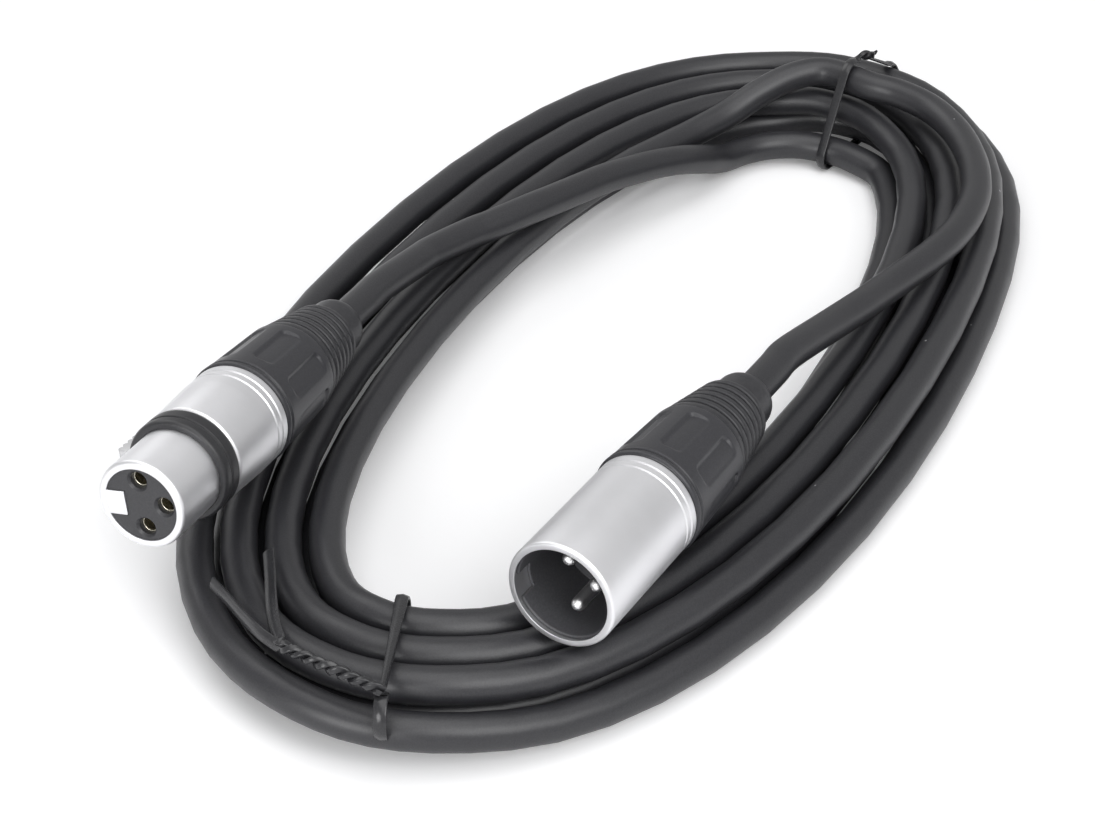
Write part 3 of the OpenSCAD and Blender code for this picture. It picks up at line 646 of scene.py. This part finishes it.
def boot_shape(connector):
    """Grip part with its double front bead and hollows."""
    length_mm = connector.grip_len / MM
    bead = connector.boot_d / MM / 2
    rear = length_mm - 1.0
    sides = [(GRIP_FRONT_R + (GRIP_REAR_R - GRIP_FRONT_R) * i / GRIP_ROWS,
              GRIP_START + (rear - GRIP_START) * i / GRIP_ROWS) for i in range(GRIP_ROWS + 1)]
    ring = [(bead - BEAD_R + BEAD_R * math.cos(a), BEAD_AT + BEAD_R * math.sin(a))
            for a in (math.radians(-80 + 20 * i) for i in range(9))]
    second = [(GRIP_FRONT_R + out, z) for out, z in SECOND_BEAD]
    tail = soften([sides[-1], (GRIP_REAR_R - 0.05, length_mm, 0.35), (BOOT_TAIL_R, length_mm)],
                  closed=False)
    inside = [(BOOT_CONE_R, 14.5), (BOOT_CONE_R, BOOT_THREAD_END), (BOOT_THREAD_R, BOOT_THREAD_END)]
    outline = ([(BOOT_THREAD_R, 0.1), (bead - 0.75, 0.06)] + ring + [(bead - 0.5, 1.62)] + second
               + sides + tail[1:] + inside)
    bm = lathe(outline, steps=256)
    for vert in bm.verts:
        s, radius = vert.co.z / MM, math.hypot(vert.co.x, vert.co.y) / MM
        if radius > BOOT_THREAD_R + 0.05 and s > GRIP_START:
            dip = flute_depth(math.atan2(vert.co.y, vert.co.x), s, radius, connector.flutes)
            scale = (radius - dip) / radius
            vert.co.x *= scale
            vert.co.y *= scale
    return bm


RIBS = 6
RIB_PITCH = 1.95
RIB_DEPTH = 0.75
BAND_LEN = 1.9
SLEEVE_FRONT_R = 8.95
LAST_RIB_R = 6.8
COLLAR_R = 5.5
COLLAR_LEN = 7
COLLAR_ROUND = (1.9, 2.6)
SLEEVE_BORE_R = 3.45
SLEEVE_SEAT_R = 6.6
RIB_PROFILE = ((-0.12, 0.05), (-0.04, 0.35), (0.02, 0.8), (0.08, 1.0), (0.16, 1.0), (0.22, 0.8),
               (0.28, 0.4), (0.36, 0.12), (0.48, 0.0), (0.74, 0.0))


def sleeve_shape(connector):
    """Soft sleeve: plain band, rounded ribs that taper, and a rounded collar."""
    start = connector.grip_len / MM + 0.04
    ribs_end = start + BAND_LEN + RIBS * RIB_PITCH
    end = ribs_end + COLLAR_LEN

    def crest(z):
        return SLEEVE_FRONT_R + (LAST_RIB_R - SLEEVE_FRONT_R) * (z - start) / (ribs_end - start)

    outline = [(SLEEVE_BORE_R, start + 1.9), (SLEEVE_SEAT_R, start + 1.7), (SLEEVE_SEAT_R, start),
               (SLEEVE_FRONT_R - 0.3, start), (SLEEVE_FRONT_R - 0.08, start + 0.06),
               (SLEEVE_FRONT_R, start + 0.25), (crest(start + 1.2), start + 1.2)]
    for i in range(RIBS):
        rib = start + BAND_LEN + i * RIB_PITCH
        for share, depth in RIB_PROFILE:
            z = rib + share * RIB_PITCH
            outline.append((crest(z) - depth * RIB_DEPTH, z))
    outline += [(LAST_RIB_R - 0.05, ribs_end - 0.12), (LAST_RIB_R - 0.5, ribs_end),
                (COLLAR_R + 0.15, ribs_end + 0.12)]
    across, along = COLLAR_ROUND
    for a in (math.radians(15 * i) for i in range(7)):
        outline.append((COLLAR_R - across + across * math.cos(a), end - along + along * math.sin(a)))
    outline.append((SLEEVE_BORE_R, end - 0.15))
    return lathe(outline, steps=128)


class COIL_OT_boots(Operator):
    """Adds the grip parts and the ribbed sleeves of both connectors"""
    bl_idname = "coil.boots"
    bl_label = "Boots and Sleeves"

    def execute(self, context):
        connector, finish = context.scene.connector, materials()
        sides = {"male": (MALE, connector.male_len), "female": (FEMALE, connector.female_len)}
        for side, (place, body_len) in sides.items():
            here = place @ Matrix.Translation((0, 0, body_len + 0.05 * MM))
            finish_piece(boot_shape(connector), f"{side}_boot_dressed", f"{side}_boot",
                         finish["boot plastic"], here, [f"{side}_boot"], sharp=50)
            finish_piece(sleeve_shape(connector), f"{side}_sleeve", f"{side}_boot",
                         finish["sleeve rubber"], here, [f"{side}_gland"], sharp=50)
        return {"FINISHED"}


# ---------------- both shells

NECK_R = 8.1
NECK_BORE_R = 7.0
NECK_LEN = 7
THREAD_PITCH = 1.25
THREAD_DEPTH = 0.28
TAIL_LEN = 2.8


def neck_outline(body_len):
    """Threaded neck, from the shoulder inwards and back along the bore."""
    root = NECK_R - THREAD_DEPTH
    threads = []
    z = body_len + 0.8
    while z < body_len + NECK_LEN - 0.9:
        threads += [(root, z), (NECK_R, z + 0.45), (NECK_R, z + 0.6)]
        z += THREAD_PITCH
    end = body_len + NECK_LEN
    return [(root, body_len)] + threads + [(root, end - 0.3), (NECK_R - 0.5, end), (NECK_BORE_R, end)]


def engraved(radius, body_len):
    """Two fine ring lines in front of the boot."""
    points = []
    for back in (3.4, 1.8):
        z = body_len - back
        points += [(radius, z - 0.24), (radius - 0.2, z - 0.06), (radius - 0.2, z + 0.1), (radius, z + 0.3)]
    return points


def shell_rear(radius, bore, end):
    """Ring lines, shoulder, neck and bore behind it."""
    shoulder = soften([(radius, end - 0.6), (radius, end, 0.22), (NECK_R, end)], closed=False)
    return engraved(radius, end) + shoulder + neck_outline(end) + [(NECK_BORE_R, end - 2), (bore, end - 2)]


# ---------------- male connector

MALE_WALL = 0.8
MOUTH_DEPTH = 15
MOUTH_R = 8.1
LINER_R, LINER_GAP = 8.65, 0.02
LIP_IN = 8.3
PIN_R = 1.175
PIN_TIP = 3.3
PIN_HOLE_R = 1.24
CUP_R, CUP_BORE_R = 1.4, 0.95
KEYWAY = (4, 4.4, 4.6)
SPRING_SLOT = (0.7, 3.5, 9)
SPRING_SLOT_AT = (7.62, 0, 15.5)
SPRING_TURN = 135


class COIL_OT_male(Operator):
    """Adds the male connector's shell, insert and pins"""
    bl_idname = "coil.male"
    bl_label = "Male Connector"

    def execute(self, context):
        connector, finish = context.scene.connector, materials()
        r, end = connector.male_d / MM / 2, connector.male_len / MM
        bore = r - MALE_WALL
        rim = soften([(bore, 12), (bore, 0.35, 0.05), (LIP_IN, 0.3, 0.05), (LIP_IN, 0, 0.06),
                      (r - 0.26, 0, 0.15), (r, 0.35, 0.25), (r, 8)], closed=False)
        finish_piece(lathe(rim + shell_rear(r, bore, end), steps=192), "male_shell_dressed", "root",
                     finish["satin nickel"], MALE, ["male_shell"])
        self.insert(end, finish)
        self.pins(end, finish)
        return {"FINISHED"}

    def insert(self, end, finish):
        tail, tail_r, liner_r = end + TAIL_LEN, NECK_BORE_R - 0.05, LINER_R - LINER_GAP
        outline = soften([(0, MOUTH_DEPTH, 0), (MOUTH_R, MOUTH_DEPTH), (MOUTH_R, 1.3, 0.12),
                          (MOUTH_R + 0.15, 1.15, 0.1), (liner_r, 1.2, 0.1), (liner_r, end - 2.05),
                          (tail_r, end - 2.05), (tail_r, tail), (0, tail, 0)], 0.1)
        bm = drilled(lathe(outline, steps=192),
                     (PIN_HOLE_R, PIN_HOLE_R, MOUTH_DEPTH - 2, tail + 2),
                     (PIN_HOLE_R + 0.51, PIN_HOLE_R, MOUTH_DEPTH - 0.2, MOUTH_DEPTH + 0.4))
        bm = combine(bm, block(KEYWAY, (MOUTH_R, 0, KEYWAY[2] / 2), 0.25, 3))
        bm = combine(bm, turned(block(SPRING_SLOT, SPRING_SLOT_AT), SPRING_TURN))
        finish_piece(bm, "male_insert_dressed", "root", finish["liner plastic"], MALE,
                     ["male_insert"])

    def pins(self, end, finish):
        dome = [(PIN_R * math.sin(a), PIN_TIP + PIN_R * 1.1 * (1 - math.cos(a)))
                for a in (math.radians(10 * i) for i in range(10))]
        cup = [(CUP_R, end + 3.3), (CUP_R, end + 6.2), (CUP_BORE_R, end + 6.2), (CUP_BORE_R, end + 3.8),
               (0, end + 3.8)]
        rod = soften([(PIN_R, 8), (PIN_R, end + 3.3)] + cup, 0.08, closed=False)
        finish_piece(at_contacts(dome + rod[1:], closed=False), "male_pins", "root",
                     finish["bright contact"], MALE, ["male_pin_1", "male_pin_2", "male_pin_3"])


# ---------------- female connector

NOSE_WALL = 1.1
LIP_R = 6.5
SEAL_W = 5.0
SEAL_R = 9.3
KEY_IN = 2.9
KEY_W = 4.3
KEY_LEN = 4.0
LATCH_W = 4.2
CHANNEL_W = 4.8
CHANNEL_IN = 2.9
CHANNEL_START, CHANNEL_END = 3.9, 27
NOTCH = (4, 3.2, 3)
THUMB = (13.0, 20.4)
THUMB_OUT = 12.3
THUMB_RIBS, THUMB_RIB_R = 5, 0.6
LEVER = (1.7, LATCH_W, 21.5)
LEVER_AT = (5.45, 0, 15.25)
TOOTH = (3, 2.6, 2.4)
TOOTH_AT = (7, 0, 8.6)
SOCKET_R, SOCKET_BORE_R = 1.735, 1.235
SOCKET_START, SOCKET_DEPTH = 1.65, 13.6
ENTRY_R = 1.5


class COIL_OT_female(Operator):
    """Adds the female connector's shell, ring, insert, sockets and latch"""
    bl_idname = "coil.female"
    bl_label = "Female Connector"

    def execute(self, context):
        connector, finish = context.scene.connector, materials()
        self.shell(connector, finish)
        self.seal(connector, finish)
        self.insert(connector, finish)
        self.sockets(connector, finish)
        self.latch(finish)
        return {"FINISHED"}

    def shell(self, connector, finish):
        nose, body, end = connector.nose_d / MM / 2, connector.body_d / MM / 2, connector.female_len / MM
        start = connector.nose_len / MM + SEAL_W
        bore = nose - NOSE_WALL
        front = soften([(bore, 6), (bore, 0.28, 0.05), (LIP_R, 0.27, 0.05), (LIP_R + 0.02, 0, 0.06),
                        (nose - 0.4, 0, 0.2), (nose, 0.45, 0.35), (nose, start), (body - 0.75, start),
                        (body - 0.4, start + 0.35, 0.3), (body, end - 6), (body, end - 4.5)], closed=False)
        key_out = bore + 0.5
        key = block((key_out - KEY_IN, KEY_W, KEY_LEN - 0.05),
                    ((key_out + KEY_IN) / 2, 0, (KEY_LEN + 0.05) / 2), 0.12, 3)
        window = block((6, CHANNEL_W, THUMB[1] - THUMB[0] + 1.1), (bore + 1.5, 0, sum(THUMB) / 2 + 0.05),
                       0.3, 3)
        bm = combine(lathe(front + shell_rear(body, bore, end), steps=192), key, "UNION")
        bm = combine(bm, window)
        bm = combine(bm, block(NOTCH, (bore + 0.6, 0, TOOTH_AT[2]), 0.2))
        finish_piece(bm, "female_shell_dressed", "root", finish["satin nickel"], FEMALE,
                     ["female_shell"])

    def seal(self, connector, finish):
        start = connector.nose_len / MM
        inner = connector.nose_d / MM / 2 + 0.05
        outside = [(SEAL_R - 0.35, 0.05, 0.4), (SEAL_R, 0.6, 0.4), (SEAL_R, 1.85, 0.12),
                   (SEAL_R - 0.3, 2, 0.1), (SEAL_R - 0.3, 2.3, 0.1), (SEAL_R, 2.45, 0.12),
                   (SEAL_R, 4.4, 0.3), (SEAL_R - 0.35, 4.95, 0.3)]
        outline = soften([(inner, start + 0.05)] + [(radius, start + z, own) for radius, z, own in outside]
                         + [(inner, start + 4.95)])
        gap = block((20, CHANNEL_W, 20), (10, 0, THUMB[0] - 0.7 + 10))
        finish_piece(combine(lathe(outline, steps=192), gap), "female_seal_ring_dressed", "root",
                     finish["seal rubber"], FEMALE, ["female_seal_ring"])

    def insert(self, connector, finish):
        bore = connector.nose_d / MM / 2 - NOSE_WALL - 0.05
        tail = connector.female_len / MM + TAIL_LEN
        outline = soften([(0, 0.3, 0), (bore, 0.3, 0.15), (bore, tail), (0, tail, 0)], 0.1)
        key_slot = block((10, KEY_W + 0.24, KEY_LEN + 1.1),
                         (KEY_IN - 0.12 + 5, 0, (KEY_LEN + 0.1) / 2 - 0.45))
        channel = block((10, CHANNEL_W, CHANNEL_END - CHANNEL_START),
                        (CHANNEL_IN + 5, 0, (CHANNEL_END + CHANNEL_START) / 2))
        bm = combine(combine(lathe(outline, steps=160), key_slot), channel)
        bm = drilled(bm, (SOCKET_R + 0.05, SOCKET_R + 0.05, SOCKET_START - 0.05, tail + 1),
                     (ENTRY_R, ENTRY_R, -1, 3), (ENTRY_R + 0.45, ENTRY_R - 0.05, 0.2, 0.8))
        finish_piece(bm, "female_insert_dressed", "root", finish["insert plastic"], FEMALE,
                     ["female_insert"])

    def sockets(self, connector, finish):
        tail = connector.female_len / MM + TAIL_LEN
        tube = [(SOCKET_BORE_R, SOCKET_START, 0.1), (SOCKET_R, SOCKET_START, 0.1), (SOCKET_R, tail)]
        cup = [(CUP_R, tail), (CUP_R, tail + 3.4), (CUP_BORE_R, tail + 3.4), (CUP_BORE_R, tail + 1),
               (0, tail + 1)]
        outline = soften(tube + cup + [(0, SOCKET_DEPTH), (SOCKET_BORE_R, SOCKET_DEPTH)], 0.06)
        finish_piece(at_contacts(outline), "female_sockets", "root", finish["silvered brass"],
                     FEMALE, ["female_socket_1", "female_socket_2", "female_socket_3"])

    def latch(self, finish):
        low, high = THUMB
        thumb = block((THUMB_OUT - 6.4, LATCH_W, high - low),
                      ((THUMB_OUT + 5.4) / 2, 0, (low + high) / 2), 0.25, 3)
        reach = LATCH_W / 2 - 0.1
        for i in range(THUMB_RIBS):
            rib = turned(cone(THUMB_RIB_R, THUMB_RIB_R, -reach, reach, segments=24), 90, "X")
            at = (THUMB_OUT - 0.72, 0, low + (i + 0.5) * (high - low) / THUMB_RIBS)
            bmesh.ops.translate(rib, vec=Vector(at) * MM, verts=rib.verts)
            thumb = join(thumb, rib)
        whole = join(block(LEVER, LEVER_AT, 0.2), thumb, block(TOOTH, TOOTH_AT, 0.2))
        finish_piece(whole, "female_latch_dressed", "female_latch", finish["latch metal"],
                     FEMALE, ["female_latch"])


# ---------------- ties

TIE_WIDTH = 2.2
TIE_THICK = 0.9
TIE_GAP = 0.3
FLOOR_GAP = 0.05
TIE_CORNER = 3.4
TIE_TOP = 14.76
STRAND = 1.15
TWIST_R = 0.55
TWIST_PITCH = 4.5
TIE_CLEAR = TIE_GAP + TIE_THICK / 2
TIE_LOW = FLOOR_GAP + TIE_THICK / 2 + TIE_CORNER
FRONT_TWIST_END = (-122.3, 7.6, 16.2)
FRONT_LEGS = (((-118, 11.4, 16), (-112, 15.6, 15.6), (-106, 19.4, 15), (-100.5, 23, 14.6)),
              ((-120.4, 12.6, 15.6), (-117, 18, 14.8), (-113.6, 23, 14.2), (-111, 27.4, 14)))
REAR_TWIST_END = (105.9, -12, 23.4)
REAR_LEGS = (((106.1, -12.8, 23.9),), ((105.5, -12.9, 23.6),))
REAR_AT = -11
CROSSING = (-12.3, 18.7)
REAR_IN = -24.6
FRONT_SKEW = (0.17, 1.0)
REAR_SKEW = (0.2, 0)
FRONT_ROOT = (12.6, TIE_TOP + 1.3)
REAR_ROOT = (-8.8, 22.9)


def corner_arc(centre, radius, start, end, steps=9):
    """Arc in a cross-section of the coil, as (outward, height) points."""
    angles = (math.radians(start + (end - start) * i / steps) for i in range(steps + 1))
    return [(centre[0] + radius * math.cos(a), centre[1] + radius * math.sin(a)) for a in angles]


def tie_outside(angle, cable):
    """The strip's way up the outer side, close round the outermost pass of each layer."""
    lower, upper = passes_at(angle, cable)
    radius = cable.diameter / MM / 2
    low = (max(lower), radius + TIE_LIFT)
    high = (max(upper), 3 * radius + TIE_LIFT)
    slant = 360 - math.degrees(math.atan2(high[0] - low[0], high[1] - low[1]))
    return (corner_arc(low, radius + TIE_CLEAR, 270, slant)
            + corner_arc(high, radius + TIE_CLEAR, slant, 450))


def in_section(angle, point, cable, skew=(0, 0)):
    """A point of the section at an angle; the skew turns and shifts the section along the cable."""
    ahead = outward(angle, cable)
    along = Vector((-ahead.y, ahead.x)) * (skew[0] * point[0] + skew[1])
    flat = mid_line(angle, cable) + ahead * point[0] + along
    return Vector((flat.x, flat.y, point[1]))


def passes_at(angle, cable):
    """How far out the passes of the lower and of the upper layer cross the section at an angle."""
    t = ((COIL_START - angle) / 360) % 1
    layers = [], []
    while t <= cable.turns:
        layers[t >= cable.turns / 2].append(pass_number(t, cable) * cable.pitch / MM * spread(angle))
        t += 1
    return layers


def tangent(points, i):
    return (points[min(i + 1, len(points) - 1)] - points[max(i - 1, 0)]).normalized()


def carried(points, first):
    """Sideways direction at each point, carried along without rolling."""
    sides, side = [], Vector(first)
    for i in range(len(points)):
        ahead = tangent(points, i)
        side = (side - ahead * side.dot(ahead)).normalized()
        sides.append(side)
    return sides


def strip_outline(width, thick, ridge, count=28):
    """Rounded flat section with a wire ridge along the middle of both faces."""
    points = []
    for i in range(count):
        a = 2 * math.pi * i / count
        x = math.copysign(abs(math.cos(a)) ** 0.55, math.cos(a)) * width / 2
        y = math.copysign(abs(math.sin(a)) ** 0.55, math.sin(a)) * thick / 2
        lowered = 1 - ridge * (1 - math.exp(-(x / (0.2 * width)) ** 2))
        points.append((x, y * lowered))
    return points


def sweep(points, sides, sections):
    """A closed skin over one section per point."""
    bm = bmesh.new()
    rings = []
    for i, (point, side, section) in enumerate(zip(points, sides, sections)):
        up = side.cross(tangent(points, i))
        rings.append([bm.verts.new((point + side * x + up * y) * MM) for x, y in section])
    for first, second in zip(rings, rings[1:]):
        for j in range(len(first)):
            k = (j + 1) % len(first)
            bm.faces.new((first[j], first[k], second[k], second[j]))
    bm.faces.new(rings[0])
    bm.faces.new(rings[-1])
    bmesh.ops.recalc_face_normals(bm, faces=bm.faces)
    return bm


def twist(start, end, phase):
    """One strand of the twisted tail."""
    ahead = (end - start).normalized()
    side = ahead.cross(Vector((0, 0, 1))).normalized()
    up = side.cross(ahead)
    steps = round((end - start).length / TWIST_PITCH * 18)
    points = []
    for i in range(steps + 1):
        turn = math.radians(phase) + 2 * math.pi * (end - start).length / TWIST_PITCH * i / steps
        points.append(start.lerp(end, i / steps) + (side * math.cos(turn) + up * math.sin(turn)) * TWIST_R)
    return points


def tie_shape(angle, loop, root, twist_end, legs, cable, skew):
    """The whole strip: tip, twist, once round the bundle, twist, tip."""
    root, twist_end = in_section(angle, root, cable, skew), Vector(twist_end)
    ahead = outward(angle, cable)
    width = Vector((-ahead.y, ahead.x, 0))
    ring = [in_section(angle, q, cable, skew) for q in loop]
    tails, shapes = [], []
    flat, strand = strip_outline(TIE_WIDTH, TIE_THICK, 0.35), strip_outline(STRAND, STRAND * 0.8, 0)
    for phase, leg in zip((0, 180), legs):
        wound = twist(root, twist_end, phase)
        free = curve_through([wound[-1], *leg], 6)[1:]
        tails.append(wound + free)
        shapes.append([strand] * len(wound) + [flat] * len(free))
    points = tails[0][::-1] + ring + tails[1]
    sides = carried(tails[0], width)[::-1] + [width] * len(ring) + carried(tails[1], width)
    return sweep(points, sides, shapes[0][::-1] + [flat] * len(ring) + shapes[1])


class COIL_OT_ties(Operator):
    """Adds the two ties: a flat strip with a wire ridge round the bundle, twisted and with free ends"""
    bl_idname = "coil.ties"
    bl_label = "Ties"

    def execute(self, context):
        cable, finish = context.scene.cable, materials()["tie plastic"]
        radius = cable.diameter / MM / 2
        inner = min(map(min, passes_at(TIE_ANGLES[0], cable))) - radius - TIE_CLEAR - 0.5
        loop = (corner_arc((inner + TIE_CORNER, TIE_TOP - TIE_CORNER), TIE_CORNER, 90, 180)
                + corner_arc((inner + TIE_CORNER, TIE_LOW), TIE_CORNER, 180, 270)
                + tie_outside(TIE_ANGLES[0], cable))
        front = tie_shape(TIE_ANGLES[0], loop, FRONT_ROOT, FRONT_TWIST_END, FRONT_LEGS, cable, FRONT_SKEW)
        finish_piece(front, "front_tie_dressed", "root", finish, stands_for=["front_tie"], sharp=60)
        low = (REAR_IN + TIE_CORNER, TIE_LOW)
        lean = 270 + math.degrees(math.atan2(low[1] - CROSSING[1], low[0] - CROSSING[0]))
        loop = (corner_arc(CROSSING, radius + TIE_CLEAR + 0.35, 58, lean)
                + corner_arc(low, TIE_CORNER, lean, 270) + tie_outside(REAR_AT, cable))
        rear = tie_shape(REAR_AT, loop, REAR_ROOT, REAR_TWIST_END, REAR_LEGS, cable, REAR_SKEW)
        finish_piece(rear, "rear_tie_dressed", "root", finish, stands_for=["rear_tie"], sharp=60)
        return {"FINISHED"}


class COIL_OT_details(Operator):
    """Gives the pieces that keep their solids a finish of their own"""
    bl_idname = "coil.details"
    bl_label = "Inner Pieces"

    def execute(self, context):
        finish = materials()
        for node, name in {
            "male_ground_spring": "spring steel", "female_ground_contact": "spring steel",
            "latch_spring": "spring steel", "male_cores": "core insulation",
            "female_cores": "core insulation", "male_chuck": "collet plastic",
            "female_chuck": "collet plastic",
        }.items():
            mesh = frame["nodes"][node].data
            mesh.materials.clear()
            mesh.materials.append(finish[name])
        return {"FINISHED"}


# ---------------- stage

CAMERA_AT = (-355.1, -147.1, 246.4)
CAMERA_HEADING = 25
CAMERA_DIP = 34
FOCAL_SHARE = 2300 / 1100
FLOOR_GLOW = 0.1
WORLD_LIGHT = 0.24
WORLD_SHINE = 0.55


class COIL_OT_stage(Operator):
    """Adds the camera, the lamps and the pale floor"""
    bl_idname = "coil.stage"
    bl_label = "Stage"

    def execute(self, context):
        settings = context.scene.stage
        self.camera(context)
        self.floor(context, settings)
        self.lamps(context, settings)
        self.world(context)
        context.scene.view_settings.view_transform = "Standard"
        return {"FINISHED"}

    def camera(self, context):
        data = bpy.data.cameras.new("camera")
        data.sensor_width = 36
        data.lens = 36 * FOCAL_SHARE
        data.clip_start = 0.01
        data.clip_end = 20
        camera = add_object("camera", data)
        camera.location = Vector(CAMERA_AT) * MM
        camera.rotation_euler = (math.radians(90 - CAMERA_DIP), 0, math.radians(CAMERA_HEADING - 90))
        context.scene.camera = camera

    def floor(self, context, settings):
        bm = bmesh.new()
        bmesh.ops.create_grid(bm, x_segments=1, y_segments=1, size=4)
        floor = to_object(bm, "floor")
        material = bpy.data.materials.new("floor")
        material.use_nodes = True
        shader = material.node_tree.nodes["Principled BSDF"]
        set_inputs(shader, {"Base Color": (*settings.floor, 1), "Roughness": 0.9, "Specular IOR Level": 0.1,
                            "Emission Color": (1, 1, 1, 1)})
        tree = material.node_tree
        rays = tree.nodes.new("ShaderNodeLightPath")
        tree.links.new(math_node(tree, "MULTIPLY", rays.outputs["Is Camera Ray"], FLOOR_GLOW),
                       shader.inputs["Emission Strength"])
        floor.data.materials.append(material)

    def lamps(self, context, settings):
        for name, at, size, share in (
            ("key", (-0.55, -0.75, 0.8), 0.9, 1.25),
            ("back", (0.35, 0.85, 0.8), 0.8, 0.35),
            ("top", (-0.1, 0.0, 1.0), 1.0, 0.65),
            ("front", (-1.1, 0.12, 0.32), 0.6, 0.85),
        ):
            data = bpy.data.lights.new(name, "AREA")
            data.shape = "DISK"
            data.size = size
            data.energy = settings.key_power * share
            lamp = add_object(name, data)
            lamp.location = at
            lamp.rotation_euler = (-Vector(at)).to_track_quat("-Z", "Y").to_euler()

    def world(self, context):
        world = context.scene.world or bpy.data.worlds.new("world")
        context.scene.world = world
        world.use_nodes = True
        tree = world.node_tree
        back = tree.nodes["Background"]
        back.inputs["Color"].default_value = (1, 1, 1, 1)
        rays = tree.nodes.new("ShaderNodeLightPath")
        level = ramp(tree, rays.outputs["Is Glossy Ray"], To_Min=WORLD_LIGHT, To_Max=WORLD_SHINE)
        tree.links.new(level, back.inputs["Strength"])


# ---------------- add-on

class COIL_PT_panel(Panel):
    """Buttons that add each group of pieces"""
    bl_idname = "COIL_PT_panel"
    bl_label = "Cable Coil"
    bl_space_type = "VIEW_3D"
    bl_region_type = "UI"
    bl_category = "Cable Coil"

    def draw(self, context):
        for operator in OPERATORS:
            self.layout.operator(operator.bl_idname)
        for name in ("cable", "connector", "stage"):
            group_of = getattr(context.scene, name)
            for field in group_of.__annotations__:
                self.layout.prop(group_of, field)


SETTINGS = {"cable": CableSettings, "connector": ConnectorSettings, "stage": StageSettings}
OPERATORS = (COIL_OT_stage, COIL_OT_boots, COIL_OT_male, COIL_OT_female, COIL_OT_cable, COIL_OT_ties,
             COIL_OT_details)


def register():
    for cls in (*SETTINGS.values(), *OPERATORS, COIL_PT_panel):
        bpy.utils.register_class(cls)
    for name, cls in SETTINGS.items():
        setattr(bpy.types.Scene, name, PointerProperty(type=cls))


def unregister():
    for name in SETTINGS:
        delattr(bpy.types.Scene, name)
    for cls in (COIL_PT_panel, *reversed(OPERATORS), *reversed(SETTINGS.values())):
        bpy.utils.unregister_class(cls)


def main():
    register()
    for call in (bpy.ops.coil.stage, bpy.ops.coil.boots, bpy.ops.coil.male, bpy.ops.coil.female,
                 bpy.ops.coil.cable, bpy.ops.coil.ties, bpy.ops.coil.details):
        call()


if __name__ == "__main__":
    main()
